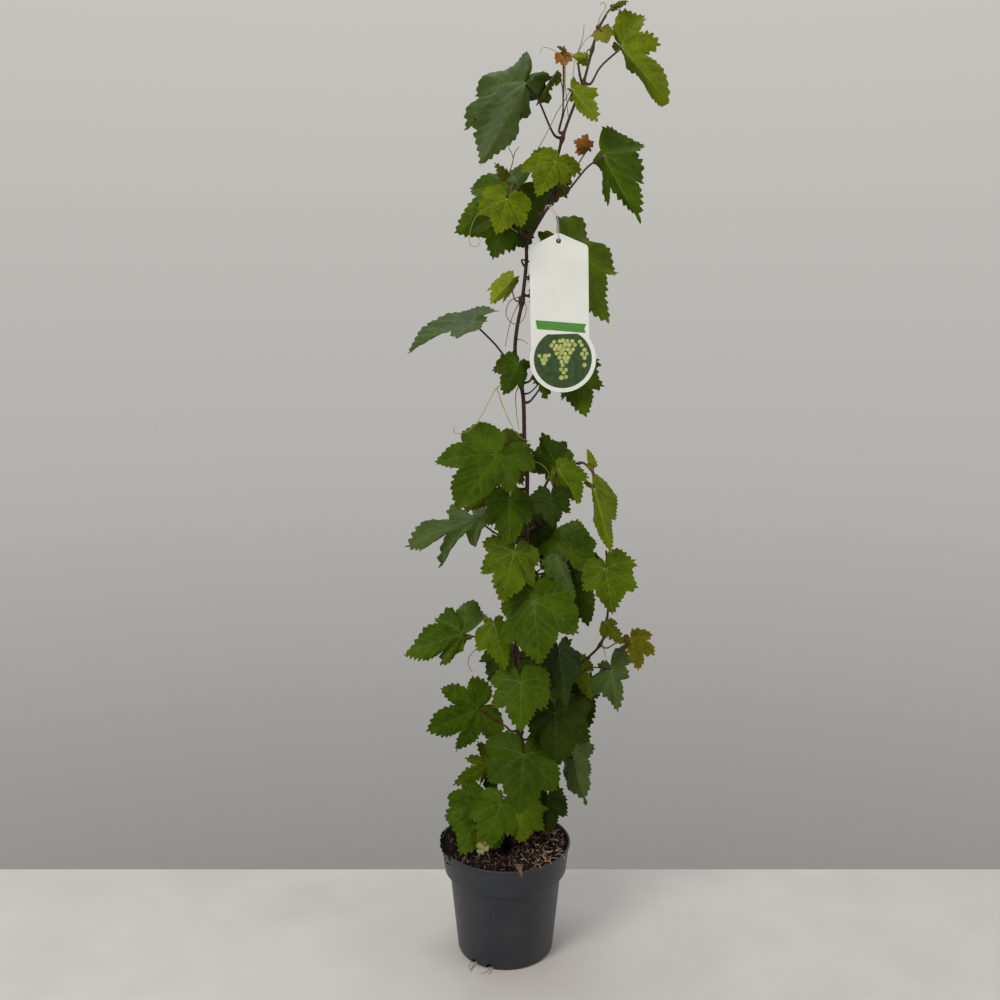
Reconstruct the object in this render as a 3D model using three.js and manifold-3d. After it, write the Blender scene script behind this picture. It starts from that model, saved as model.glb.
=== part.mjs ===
// A young grapevine in a nursery pot, about 1.19 m tall, with a plain hanging card tied to its stem.
// Millimetres, +Z up. The origin is the centre of the pot's flat underside, and -Y is the front.
import * as THREE from "three";
import { mergeVertices } from "three/addons/utils/BufferGeometryUtils.js";
import Module from "manifold-3d";

const wasm = await Module();
wasm.setup();

// Driving dimensions of the pot and its filling
const touchGap = 0.3;
const potHeight = 149;
const potBaseRadius = 62.3;
const potWaistRadius = 72.4;
const potWaistHeight = 109;
const potCollarRadius = 79;
const potCollarHeight = 112;
const potRimRadius = 84;
const potRoll = 1.6;
const potWall = 1.8;
const potFloor = 3;
const potSides = 24;
const drainPairs = 3;
const drainPairTurn = 240.5;
const drainPairSpread = 21;
const drainHoleRadius = 4.8;
const soilEdgeHeight = 146;
const soilDip = 4.5;
const soilRoughness = 1.1;

// Driving dimensions of the limbs and leaves
const stemFootRadius = 3.1;
const stemTipRadius = 1.3;
const stubFoot = 1.6;
const stubEnd = 1.1;
const limbSides = 6;
const limbSteps = 240;
const knotSwelling = 0.45;
const knotReach = 6;
const ringSpacing = 34;
const stalkSides = 4;
const stalkStep = 32;
const stalkFoot = 1.5;
const stalkHead = 1.0;
const stalkSink = 0.07;
const stalkTilt = 0.4;
const stalkRoot = 0.6;
const stalkNarrowing = 14;
const squareExit = 5;
const leafThickness = 0.014;
const leafUnevenness = 0.05;
const innerRing = 0.52;
const plainLeafLength = 56;

// Driving dimensions of the card and its string
const cardWidth = 69;
const cardThickness = 0.9;
const cardPeak = 15;
const cardShoulder = 6;
const cardRound = 39.5;
const cardRoundDrop = 146;
const cardRoundShift = 3;
const cardHoleRadius = 3;
const cardHoleDrop = 9;
const cardLean = 1.4;
const stringRadius = 0.5;
const ringSlack = 1.2;

const degrees = Math.PI / 180;
const point = (place) => new THREE.Vector3(...place);

const potPlastic = new THREE.MeshStandardMaterial({ color: 0x3a3b3e, roughness: 0.55, metalness: 0 });
const pottingMix = new THREE.MeshStandardMaterial({ color: 0x4a3628, roughness: 1, metalness: 0 });
const brownBark = new THREE.MeshStandardMaterial({ color: 0x5b4230, roughness: 0.8, metalness: 0 });
const leafGreen = new THREE.MeshStandardMaterial({ color: 0x4c6b1f, roughness: 0.6, metalness: 0 });
const whiteCard = new THREE.MeshStandardMaterial({ color: 0xe8e8e4, roughness: 0.5, metalness: 0 });
const paleString = new THREE.MeshStandardMaterial({ color: 0xd8d6cc, roughness: 0.8, metalness: 0 });

// Closed geometry to solid and back, so that pieces can be joined or cut
function solidOf(geometry) {
  const bare = geometry.clone();
  bare.deleteAttribute("normal");
  bare.deleteAttribute("uv");
  const merged = mergeVertices(bare, 1e-4);
  const vertProperties = new Float32Array(merged.attributes.position.array);
  const triVerts = new Uint32Array(merged.index.array);
  return new wasm.Manifold(new wasm.Mesh({ numProp: 3, vertProperties, triVerts }));
}

function geometryOf(solid) {
  const mesh = solid.getMesh();
  const geometry = new THREE.BufferGeometry();
  geometry.setAttribute("position", new THREE.BufferAttribute(new Float32Array(mesh.vertProperties), 3));
  geometry.setIndex(new THREE.BufferAttribute(new Uint32Array(mesh.triVerts), 1));
  geometry.computeVertexNormals();
  return geometry;
}

// Joins the pieces of one node and keeps its main body, so that no loose scrap is left
function fused(geometries) {
  const whole = geometries.map(solidOf).reduce((sum, piece) => sum.add(piece));
  const bodies = whole.decompose();
  return geometryOf(bodies.reduce((best, body) => (body.volume() > best.volume() ? body : best)));
}

function meshOf(name, geometry, material) {
  const mesh = new THREE.Mesh(geometry, material);
  mesh.name = name;
  return mesh;
}

// A small repeatable source of numbers from 0 to 1, one for each seed
function seeded(seed) {
  let state = seed * 7919 + 104729;
  return () => {
    state = (state * 1664525 + 1013904223) % 4294967296;
    return state / 4294967296;
  };
}

function geometryFromRings(rings) {
  const sides = rings[0].length;
  const positions = rings.flat().flatMap((corner) => corner.toArray());
  const sumOf = (ring) => ring.reduce((sum, corner) => sum.add(corner), point([0, 0, 0]));
  const centre = (ring) => sumOf(ring).divideScalar(sides);
  positions.push(...centre(rings[0]).toArray(), ...centre(rings.at(-1)).toArray());
  const start = rings.length * sides;
  const last = start - sides;
  const faces = [];
  for (let side = 0; side < sides; side += 1) {
    const next = (side + 1) % sides;
    faces.push(start, next, side, start + 1, last + side, last + next);
    for (let ring = 0; ring < rings.length - 1; ring += 1) {
      const here = ring * sides;
      const above = here + sides;
      faces.push(here + side, here + next, above + next, here + side, above + next, above + side);
    }
  }
  const geometry = new THREE.BufferGeometry();
  geometry.setAttribute("position", new THREE.Float32BufferAttribute(positions, 3));
  geometry.setIndex(faces);
  return geometry;
}

// A round limb along a route, with a flat cut at each end and a radius given along its length
function tapered(curve, shares, radiusAt, sides) {
  const frames = curve.computeFrenetFrames(limbSteps, false);
  const rings = shares.map((share) => {
    const step = Math.round(share * limbSteps);
    const middle = curve.getPointAt(step / limbSteps);
    const radius = radiusAt(step / limbSteps);
    return Array.from({ length: sides }, (_, side) => {
      const turn = (2 * Math.PI * side) / sides;
      const corner = frames.normals[step].clone().multiplyScalar(radius * Math.cos(turn));
      corner.addScaledVector(frames.binormals[step], radius * Math.sin(turn));
      return corner.add(middle);
    });
  });
  return geometryFromRings(rings);
}

const evenShares = (count) => Array.from({ length: count + 1 }, (_, step) => step / count);

// A limb: its route, its taper, the heights of the knots where stalks leave it, and how far its many-sided
// bark reaches in a direction
function makeLimb({ route, foot, tip, knots = [] }) {
  const curve = new THREE.CatmullRomCurve3(route.map(point), false, "centripetal");
  curve.arcLengthDivisions = 600;
  const length = curve.getLength();
  const samples = evenShares(600).map((share) => curve.getPointAt(share));
  const shareAt = (height) => {
    const away = samples.map((sample) => Math.abs(sample.z - height));
    return away.indexOf(Math.min(...away)) / 600;
  };
  const knotShares = knots.map(shareAt);
  const radiusAt = (share) => {
    const plain = foot + (tip - foot) * share;
    const swelling = knotShares.reduce((most, knot) => {
      const away = ((share - knot) * length) / knotReach;
      return Math.max(most, Math.exp(-away * away));
    }, 0);
    return plain * (1 + knotSwelling * swelling);
  };
  const shares = [...evenShares(Math.round(length / ringSpacing))];
  for (const knot of knotShares) {
    shares.push(knot - knotReach / length, knot, knot + knotReach / length);
  }
  const spaced = shares.filter((share) => share >= 0 && share <= 1).sort((a, b) => a - b);
  const kept = spaced.filter((share, index) => index === 0 || (share - spaced[index - 1]) * length > 3.5);
  kept[kept.length - 1] = 1;
  const frames = curve.computeFrenetFrames(limbSteps, false);
  const barkAt = (share, outward) => {
    const step = Math.round(share * limbSteps);
    const turn = Math.atan2(outward.dot(frames.binormals[step]), outward.dot(frames.normals[step]));
    const flat = (2 * Math.PI) / limbSides;
    const fromFlat = ((turn + 2 * Math.PI) % flat) - flat / 2;
    return (radiusAt(share) * Math.cos(flat / 2)) / Math.cos(fromFlat);
  };
  return { curve, length, shareAt, radiusAt, barkAt, shares: kept };
}

const limbGeometry = (limb) => tapered(limb.curve, limb.shares, limb.radiusAt, limbSides);

const stem = makeLimb({
  route: [
    [10, 0, 143], [13, 1, 170], [16, 2, 203], [20, 2, 250], [20, 0, 275], [18, -1, 297], [16, -1, 340],
    [13, 0, 404], [17, 1, 450], [25, 1, 496], [26, 0, 548], [26, 1, 598], [26, 2, 636], [23, 2, 664],
    [21, 1, 723], [18, 0, 741], [11, 0, 778], [13, 0, 806], [19, 1, 838], [24, 1, 884], [25, 0, 908],
    [33, 0, 921], [45, 0, 941], [57, 1, 959], [58, 1, 992], [65, 0, 1024], [78, 1, 1060], [88, 1, 1084],
    [98, 0, 1121], [104, 0, 1142], [113, 0, 1158],
  ],
  foot: stemFootRadius,
  tip: stemTipRadius,
  knots: [196, 266, 297, 404, 496, 576, 655, 741, 838, 914, 959, 1024, 1084, 1121, 1142],
});

const lowerShoot = makeLimb({
  route: [
    [25, 5, 304], [38, 7, 326], [54, 8, 347], [88, 6, 380], [119, 0, 413], [126, -4, 444], [128, -5, 480],
    [124, -5, 536],
  ],
  foot: 1.9,
  tip: 1.5,
  knots: [380, 413, 444],
});

const middleShoot = makeLimb({
  route: [[29.7, 3.2, 584], [44, 9, 606], [60, 12, 632], [78, 10, 641], [90, 7, 643]],
  foot: 1.7,
  tip: 1.2,
  knots: [632],
});

// Half of a leaf's outline: degrees from the tip of the middle lobe, and reach as a share of its length
const leafOutline = [
  { angle: 0, reach: 1 },
  { angle: 18, reach: 0.8 },
  { angle: 32, reach: 0.64, hollow: true },
  { angle: 51, reach: 0.79 },
  { angle: 70, reach: 0.68 },
  { angle: 84, reach: 0.58, hollow: true },
  { angle: 104, reach: 0.65 },
  { angle: 126, reach: 0.6 },
  { angle: 147, reach: 0.5 },
  { angle: 166, reach: 0.34 },
  { angle: 180, reach: 0.05 },
];

// The middle lobe keeps its length; each half has its own share of the full size, and so has its heel
function outlineOf(leaf, random) {
  const reachOf = ({ angle, reach, hollow }, half) => {
    const size = angle > 90 ? leaf.heels[half] : leaf.sides[half];
    const share = angle === 0 ? 1 : angle < 30 ? (1 + size) / 2 : size;
    const cut = hollow ? 1 + (0.5 - leaf.cut) * 0.7 : 1;
    return reach * share * cut * (1 + leafUnevenness * (2 * random() - 1));
  };
  const right = leafOutline.map((mark) => ({ angle: mark.angle, reach: reachOf(mark, 1) }));
  const left = leafOutline.slice(1, -1).map((mark) => ({ angle: -mark.angle, reach: reachOf(mark, 0) }));
  return [...right, ...left.reverse()];
}

// Where a flat place on the leaf lies in space: the blade is arched along its middle vein, and each
// half falls away from that vein by its own fold and bends on towards its edge
function bladePlacer(leaf) {
  const base = point(leaf.at);
  const chord = point(leaf.tip).sub(base);
  const length = chord.length();
  const along = chord.normalize();
  const facing = point([0, -1, 0]);
  facing.addScaledVector(along, -facing.dot(along)).normalize();
  facing.applyAxisAngle(along, leaf.turn * degrees);
  const across = new THREE.Vector3().crossVectors(facing, along);
  const arch = leaf.arch * degrees;
  const bend = leaf.curl * degrees;
  const arcRadius = 0.5 / Math.sin(arch / 2);
  const placeAt = (forward, aside) => {
    const side = aside < 0 ? 0 : 1;
    const away = Math.abs(aside);
    const fold = leaf.fold[side] * degrees;
    const swept = forward + leaf.sweep[side] * away;
    const lean = arch * (swept - 0.5);
    const sideways = (Math.sin(fold + bend * away) - Math.sin(fold)) / bend;
    const drop = (Math.cos(fold) - Math.cos(fold + bend * away)) / bend;
    const place = base.clone();
    const forth = arcRadius * (Math.sin(arch / 2) + Math.sin(lean)) - drop * Math.sin(lean);
    const raised = arcRadius * (Math.cos(lean) - Math.cos(arch / 2)) - drop * Math.cos(lean);
    place.addScaledVector(along, length * forth).addScaledVector(facing, length * raised);
    return place.addScaledVector(across, length * sideways * (side === 0 ? -1 : 1));
  };
  const halfNormal = (forward, aside) => {
    const step = 0.01;
    const ahead = placeAt(forward + step, aside).sub(placeAt(forward - step, aside));
    const beside = placeAt(forward, aside + step).sub(placeAt(forward, aside));
    return beside.cross(ahead).negate().normalize();
  };
  const normalAt = (forward, aside) => {
    if (Math.abs(aside) > 0.02) {
      return halfNormal(forward, aside);
    }
    return halfNormal(forward, 0.02).add(halfNormal(forward, -0.04)).normalize();
  };
  return { placeAt, normalAt, length, along };
}

// The blade has one ring of corners on its edge, and a large one has a second ring, at every other
// corner, halfway in, so that it can bend
function bladeGeometry(leaf, random) {
  const outline = outlineOf(leaf, random);
  const placer = bladePlacer(leaf);
  const half = (placer.length * leafThickness) / 2;
  const flatAt = ({ angle, reach }, ring) => {
    return [ring * reach * Math.cos(angle * degrees), ring * reach * Math.sin(angle * degrees)];
  };
  const inner = placer.length > plainLeafLength ? outline.filter((_, ray) => ray % 2 === 0) : [];
  const rings = [...inner.map((mark) => flatAt(mark, innerRing)), ...outline.map((mark) => flatAt(mark, 1))];
  const flat = [[0, 0], ...rings];
  const cornerAt = (place, rise) => placer.placeAt(...place).addScaledVector(placer.normalAt(...place), rise);
  const upper = flat.map((place) => cornerAt(place, half));
  const lower = flat.map((place) => cornerAt(place, -half));
  const around = outline.length;
  const below = flat.length;
  const edge = 1 + inner.length;
  const faces = [];
  const addFace = (a, b, c) => faces.push(a, b, c, below + a, below + c, below + b);
  for (let ray = 0; ray < around; ray += 1) {
    const [here, next] = [edge + ray, edge + ((ray + 1) % around)];
    faces.push(here, below + here, below + next, here, below + next, next);
    if (inner.length === 0) {
      addFace(0, here, next);
    }
  }
  for (let ray = 0; ray < inner.length; ray += 1) {
    const [here, next] = [1 + ray, 1 + ((ray + 1) % inner.length)];
    const [first, middle, last] = [edge + 2 * ray, edge + 2 * ray + 1, edge + ((2 * ray + 2) % around)];
    addFace(0, here, next);
    addFace(here, first, middle);
    addFace(here, middle, next);
    addFace(next, middle, last);
  }
  const geometry = new THREE.BufferGeometry();
  const positions = [...upper, ...lower].flatMap((corner) => corner.toArray());
  geometry.setAttribute("position", new THREE.Float32BufferAttribute(positions, 3));
  geometry.setIndex(faces);
  return geometry;
}

// A stalk leaves its limb squarely, clear of the bark and its knots, or goes on from the limb's end, and
// runs out under its blade. Where a twig carries several leaves, it first runs to a fork
function limbExit(limb, height, target) {
  const share = limb.shareAt(height);
  const middle = limb.curve.getPointAt(share);
  const direction = limb.curve.getTangentAt(share);
  if (share === 1) {
    const end = middle.clone().addScaledVector(direction, touchGap);
    return [end, end.clone().addScaledVector(direction, squareExit)];
  }
  const outward = target.clone().sub(middle);
  outward.addScaledVector(direction, -outward.dot(direction)).normalize();
  const nearby = [-3, 0, 3].map((away) => Math.min(1, Math.max(0, share + away / limb.length)));
  const barkReach = Math.max(...nearby.map((place) => limb.barkAt(place, outward)));
  const foot = middle.clone().addScaledVector(outward, barkReach + touchGap + stalkTilt);
  return [foot, foot.clone().addScaledVector(outward, squareExit)];
}

// Rings at every given place of the route, and between them wherever they would be far apart
function sharesThrough(curve, spacing) {
  const spans = curve.points.length - 1;
  const lengths = curve.getLengths(spans * 20);
  const total = lengths.at(-1);
  const shares = [0];
  for (let span = 0; span < spans; span += 1) {
    const [start, end] = [lengths[span * 20], lengths[(span + 1) * 20]];
    const parts = Math.max(1, Math.round((end - start) / spacing));
    for (let part = 1; part <= parts; part += 1) {
      shares.push((start + ((end - start) * part) / parts) / total);
    }
  }
  return shares;
}

function stalkGeometry(places, size) {
  const curve = new THREE.CatmullRomCurve3(places, false, "centripetal");
  const radiusAt = (part) => {
    const neck = stalkRoot + (1 - stalkRoot) * Math.min(1, (1 - part) * stalkNarrowing);
    return size * neck * (stalkFoot + (stalkHead - stalkFoot) * Math.min(1, part * 3));
  };
  return tapered(curve, sharesThrough(curve, stalkStep), radiusAt, stalkSides);
}

const leafDefaults = {
  turn: 0, fold: [15, 15], sides: [1, 1], heels: [1, 1], sweep: [0.1, 0.1], arch: 25, curl: 25, cut: 0.5,
  stalk: 1, via: [],
};

function foliage(name, { limb, height, fork, leaves }, seed) {
  const pieces = [];
  if (fork) {
    pieces.push(stalkGeometry([...limbExit(limb, height, point(fork)), point(fork)], 1.2));
  }
  leaves.forEach((entry, index) => {
    const leaf = { ...leafDefaults, ...entry };
    const random = seeded(seed * 10 + index);
    pieces.push(bladeGeometry(leaf, random));
    const placer = bladePlacer(leaf);
    const ahead = placer.length > plainLeafLength ? innerRing : 1;
    const seat = placer.placeAt(0, 0).lerp(placer.placeAt(ahead, 0), stalkSink / ahead);
    const places = [...leaf.via.map(point), seat];
    const start = fork ? [point(fork)] : limbExit(limb, height, places[0]);
    pieces.push(stalkGeometry([...start, ...places], leaf.stalk));
  });
  return meshOf(name, fused(pieces), leafGreen);
}

// The leaves from the tip of the plant down. Each entry is one twig: the limb and height that it
// leaves from, and for each leaf where its blade starts and ends, how far it turns and how it folds
const twigs = [
  { limb: stem, height: 1158, leaves: [
    { at: [120, -3, 1166], tip: [137, -6, 1171], sides: [0.5, 0.5], fold: [30, 30], stalk: 0.8 }] },
  { limb: stem, height: 1142, leaves: [
    { at: [107, -7, 1139], tip: [114, -16, 1124], sides: [0.85, 1.1], heels: [0.9, 1.1], fold: [5, 5],
      stalk: 0.6 }] },
  { limb: stem, height: 1121, leaves: [
    { at: [92, 6, 1113], tip: [74, 3, 1115], sides: [0.85, 0.85], fold: [40, 50], stalk: 0.6 }] },
  { limb: stem, height: 1086, leaves: [
    { at: [130, -8, 1123], tip: [182, -24, 1061], turn: 8, sides: [0.9, 0.74], heels: [0.4, 0.85],
      fold: [82, 20],
      sweep: [0.1, -0.2], cut: 0.85, via: [[107, -5, 1101]] }] },
  { limb: stem, height: 1030, fork: [66, 8, 1052], leaves: [
    { at: [65, 6, 1117], tip: [68, 0, 1103], fold: [10, 10], stalk: 0.7, via: [[66, 8, 1084]] },
    { at: [57, 4, 1097], tip: [38, -6, 1067], turn: 20, sides: [0.5, 0.4], heels: [0.4, 0.3],
      fold: [75, 60],
      stalk: 0.6, via: [[64, 9, 1086]] },
    { at: [75, -16, 1075], tip: [103, -32, 1038], turn: 10, sides: [0.4, 0.85], heels: [0.2, 0.5],
      fold: [45, 32],
      stalk: 0.6, via: [[70, -12, 1062]] }] },
  { limb: stem, height: 1024, leaves: [
    { at: [22, -24, 1081], tip: [-27, -44, 992], turn: -10, sides: [1, 0.62], heels: [1.3, 0.9],
      fold: [53, 60], sweep: [0.3, 0], cut: 0.95, via: [[35, -12, 1067]] }] },
  { limb: stem, height: 984, leaves: [
    { at: [57, -16, 996], tip: [35, -36, 956], sides: [1, 0.75], heels: [0.85, 1], fold: [8, 12],
      sweep: [0.1, -0.1] }] },
  { limb: stem, height: 972, leaves: [
    { at: [96, -2, 1014], tip: [77, -10, 1021], sides: [0.9, 0.9], heels: [0.6, 0.6], fold: [25, 35],
      stalk: 0.7,
      via: [[77, 8, 986]] }] },
  { limb: stem, height: 961, leaves: [
    { at: [111, -20, 1003], tip: [154, -44, 922], turn: 10, sides: [0.7, 0.85], heels: [0.4, 1],
      fold: [66, 48],
      sweep: [0.2, 0], cut: 0.7, via: [[95, -12, 992]] }] },
  { limb: stem, height: 912, fork: [15, -1, 925], leaves: [
    { at: [15, 30, 972], tip: [-60, 38, 921], turn: 8, heels: [1, 0.75], fold: [42, 20], cut: 0.6,
      via: [[17, 16, 946]] },
    { at: [2, 6, 942], tip: [-15, -10, 889], fold: [5, 15], sweep: [0.2, 0], via: [[10, 3, 934]] },
    { at: [1, -27, 954], tip: [-11, -46, 915], fold: [5, 10], via: [[9, -14, 940]] }] },
  { limb: stem, height: 934, leaves: [
    { at: [58, 46, 984], tip: [53, 60, 950], turn: 180, sides: [0.9, 0.9], via: [[50, 24, 958]] }] },
  { limb: stem, height: 878, leaves: [
    { at: [64, 58, 866], tip: [58, 78, 806], turn: 180, sides: [0.85, 0.85],
      via: [[20, 36, 888], [42, 54, 880]] }] },
  { limb: stem, height: 846, leaves: [
    { at: [67, 24, 907], tip: [120, 10, 817], sides: [0.75, 1], heels: [0.5, 1], fold: [5, 45],
      via: [[44, 16, 872]] }] },
  { limb: stem, height: 838, leaves: [
    { at: [6, -10, 863], tip: [-18, -26, 836], sides: [1, 0.85], heels: [1, 1.2], fold: [50, 62],
      stalk: 0.7 }] },
  { limb: stem, height: 770, leaves: [
    { at: [-38, -6, 815], tip: [-119, -18, 777], turn: 79, sides: [0.8, 0.7], heels: [1, 0.35],
      fold: [-10, 4], sweep: [0.1, -0.05], curl: 15, via: [[-14, 3, 789]] }] },
  { limb: stem, height: 752, leaves: [
    { at: [14, -14, 765], tip: [-3, -29, 732], sides: [0.92, 0.95], heels: [0.8, 0.8], fold: [5, 36],
      sweep: [0.05, 0],
      stalk: 0.7 }] },
  { limb: stem, height: 728, leaves: [
    { at: [50, 8, 752], tip: [46, -2, 720], sides: [0.7, 0.7], heels: [0.7, 0.7], fold: [20, 20],
      stalk: 0.7 }] },
  { limb: stem, height: 718, leaves: [
    { at: [78, 22, 757], tip: [98, 6, 700], sides: [0.8, 0.92], heels: [0.8, 1], fold: [42, 20],
      via: [[50, 20, 742]] }] },
  { limb: stem, height: 662, leaves: [
    { at: [-10, -32, 659], tip: [-56, -60, 602], sides: [1.15, 0.86], fold: [8, 8], sweep: [0.15, -0.25],
      cut: 0.55,
      via: [[2, -18, 663]] }] },
  { limb: stem, height: 612, fork: [6, 8, 614], leaves: [
    { at: [-17, 6, 612], tip: [-49, -4, 594], sides: [0.45, 0.5], heels: [0.4, 0.4], fold: [35, 60],
      stalk: 0.7 },
    { at: [-12, 34, 664], tip: [-24, 60, 598], turn: 180, stalk: 0.9, via: [[-2, 24, 642]] }] },
  { limb: stem, height: 552, leaves: [
    { at: [-34, 12, 572], tip: [-121, 0, 535], turn: 80, sides: [0.6, 0.85], heels: [0.9, 0.6],
      fold: [-5, 14], sweep: [0.05, 0.6], cut: 0.95, via: [[-4, 10, 550]] }] },
  { limb: stem, height: 580, leaves: [
    { at: [5, -17, 602], tip: [4, -33, 545], sides: [0.88, 0.78], heels: [0.85, 0.75], fold: [15, 5] }] },
  { limb: stem, height: 530, leaves: [
    { at: [10, -26, 539], tip: [-5, -50, 483], sides: [0.9, 0.9], heels: [0.9, 0.9], fold: [15, 20] }] },
  { limb: middleShoot, height: 626, leaves: [
    { at: [63, 28, 635], tip: [46, 34, 676], sides: [0.7, 0.75], heels: [0.3, 0.5], fold: [20, 20],
      stalk: 0.8 }] },
  { limb: middleShoot, height: 631, fork: [62, -8, 636], leaves: [
    { at: [63, -12, 638], tip: [91, -26, 595], turn: -15, sides: [0.7, 0.88], heels: [0.5, 0.6],
      fold: [60, 15],
      stalk: 0.8 },
    { at: [54, -34, 608], tip: [56, -50, 573], sides: [0.95, 0.95], heels: [1.1, 1.1], fold: [10, 10],
      sweep: [0, 0], stalk: 0.8, via: [[58, -20, 622]] }] },
  { limb: middleShoot, height: 643, fork: [106, -6, 634], leaves: [
    { at: [106, -18, 618], tip: [126, -30, 545], fold: [78, 58], sides: [0.8, 0.9], heels: [0.4, 0.9],
      sweep: [0.15, 0.3], arch: 40 },
    { at: [107, -4, 641], tip: [99, -2, 662], sides: [0.4, 0.5], heels: [0.3, 0.3], stalk: 0.6 }] },
  { limb: lowerShoot, height: 521, leaves: [
    { at: [122, -22, 517], tip: [130, -40, 463], sides: [0.82, 0.98], heels: [0.75, 1], fold: [10, 10],
      sweep: [-0.1, 0] }] },
  { limb: lowerShoot, height: 500, leaves: [
    { at: [96, 74, 498], tip: [92, 94, 440], turn: 180, sides: [0.75, 0.75], stalk: 0.8,
      via: [[122, 24, 504], [110, 56, 507]] }] },
  { limb: stem, height: 560, fork: [36, 26, 560], leaves: [
    { at: [45, 44, 552], tip: [54, 36, 504], sides: [0.75, 0.7], heels: [0.7, 0.7], stalk: 0.8 },
    { at: [26, 62, 574], tip: [22, 84, 508], turn: 180, sides: [0.75, 0.6], heels: [0.8, 0.7], stalk: 0.9,
      via: [[30, 44, 576]] }] },
  { limb: stem, height: 520, leaves: [
    { at: [82, 3, 534], tip: [91, 46, 558], turn: -20, sides: [0.7, 1.15], heels: [0.8, 0.5],
      via: [[55, 8, 524]] }] },
  { limb: stem, height: 500, fork: [34, -3, 504], leaves: [
    { at: [61, -4, 516], tip: [85, -12, 475], sides: [0.6, 0.5], heels: [0.4, 0.4], fold: [40, 70],
      stalk: 0.8,
      via: [[46, -4, 512]] },
    { at: [86, 20, 508], tip: [104, 8, 436], sides: [0.75, 0.75], heels: [0.8, 0.8], fold: [42, 40],
      via: [[58, 14, 504]] }] },
  { limb: stem, height: 494, leaves: [
    { at: [34, -38, 481], tip: [40, -70, 412], sides: [1, 1.05], fold: [28, 5], sweep: [0.15, 0],
      via: [[31, -16, 489]] }] },
  { limb: stem, height: 486, leaves: [
    { at: [44, 66, 478], tip: [40, 90, 408], turn: 180, sides: [0.8, 0.9], heels: [0.6, 0.9],
      via: [[34, 30, 486]] }] },
  { limb: stem, height: 420, leaves: [
    { at: [-54, 0, 427], tip: [-129, -16, 404], turn: 40, sides: [0.75, 0.58], heels: [1.1, 0.3],
      fold: [10, 30],
      sweep: [-0.2, 0.5], cut: 0.6, via: [[-20, 2, 420]] }] },
  { limb: stem, height: 430, leaves: [
    { at: [-14, -18, 450], tip: [-2, -34, 396], sides: [0.9, 0.75], heels: [0.8, 0.8], fold: [8, 35],
      via: [[2, -8, 440]] }] },
  { limb: stem, height: 402, leaves: [
    { at: [18, -38, 378], tip: [18, -64, 324], sides: [0.9, 0.95], fold: [12, 8],
      via: [[16, -16, 392]] }] },
  { limb: stem, height: 392, leaves: [
    { at: [12, 34, 384], tip: [2, 60, 318], turn: 180, sides: [0.8, 0.8], via: [[12, 16, 390]] }] },
  { limb: stem, height: 300, leaves: [
    { at: [-34, -14, 334], tip: [-101, -34, 313], sides: [0.92, 1], heels: [0.85, 1], fold: [8, 5],
      sweep: [0.05, 0.1], cut: 0.85, via: [[0, -4, 306]] }] },
  { limb: stem, height: 396, leaves: [
    { at: [66, -16, 412], tip: [77, -32, 353], sides: [0.85, 0.8], heels: [0.6, 0.6], fold: [58, 55],
      via: [[40, -6, 398]] }] },
  { limb: lowerShoot, height: 366, leaves: [
    { at: [93, 26, 381], tip: [111, 18, 333], sides: [0.55, 0.55], heels: [0.45, 0.45], fold: [30, 30],
      stalk: 0.8 }] },
  { limb: lowerShoot, height: 446, leaves: [
    { at: [124, -17, 447], tip: [148, -26, 420], sides: [0.65, 0.45], heels: [0.35, 0.25], fold: [20, 20],
      stalk: 0.6 }] },
  { limb: lowerShoot, height: 413, leaves: [
    { at: [157, -8, 422], tip: [164, -22, 388], sides: [0.5, 1.15], heels: [0.5, 1.1], cut: 0.8, stalk: 0.7,
      via: [[140, -4, 417]] }] },
  { limb: lowerShoot, height: 381, leaves: [
    { at: [133, -6, 384], tip: [140, -26, 335], sides: [0.9, 0.62], heels: [0.6, 1.1], fold: [30, 20],
      sweep: [0.1, -0.2], stalk: 0.8, via: [[108, 0, 383]] }] },
  { limb: stem, height: 288, leaves: [
    { at: [62, -20, 330], tip: [64, -42, 264], sides: [0.78, 1], heels: [0.7, 1], fold: [10, 10],
      sweep: [0, 0],
      via: [[36, -12, 304]] }] },
  { limb: stem, height: 272, fork: [40, 16, 290], leaves: [
    { at: [96, 34, 350], tip: [108, 24, 298], sides: [0.7, 0.75], heels: [0.5, 0.6], via: [[70, 30, 322]] },
    { at: [52, 64, 330], tip: [44, 86, 262], turn: 180, sides: [0.85, 0.85], stalk: 0.9,
      via: [[48, 46, 314]] }] },
  { limb: stem, height: 266, leaves: [
    { at: [86, -8, 266], tip: [102, -24, 208], sides: [0.95, 0.8], heels: [0.9, 1], fold: [60, 48],
      via: [[50, 0, 266]] }] },
  { limb: stem, height: 278, leaves: [
    { at: [22, -40, 283], tip: [16, -76, 218], sides: [0.92, 0.98], fold: [8, 8], sweep: [0, 0],
      via: [[24, -14, 284]] }] },
  { limb: stem, height: 234, fork: [8, 3, 240], leaves: [
    { at: [-24, 4, 250], tip: [-65, -10, 231], sides: [0.6, 0.55], heels: [0.85, 0.6], fold: [10, 25],
      cut: 0.9,
      stalk: 0.8, via: [[-6, 4, 247]] },
    { at: [-14, 20, 236], tip: [-24, 12, 202], sides: [0.7, 0.7], heels: [0.3, 0.3], stalk: 0.7 }] },
  { limb: stem, height: 244, leaves: [
    { at: [10, 38, 258], tip: [2, 62, 196], turn: 180, sides: [0.85, 0.85], via: [[18, 20, 252]] }] },
  { limb: stem, height: 205, leaves: [
    { at: [-11, -28, 214], tip: [-35, -54, 153], sides: [1.18, 0.55], heels: [1, 0.5], fold: [8, 10],
      sweep: [0.25, 0],
      via: [[2, -14, 212]] }] },
  { limb: stem, height: 186, fork: [22, -8, 192], leaves: [
    { at: [21, -22, 205], tip: [16, -34, 165], sides: [0.8, 0.75], heels: [0.5, 0.8], fold: [12, 12],
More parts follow.
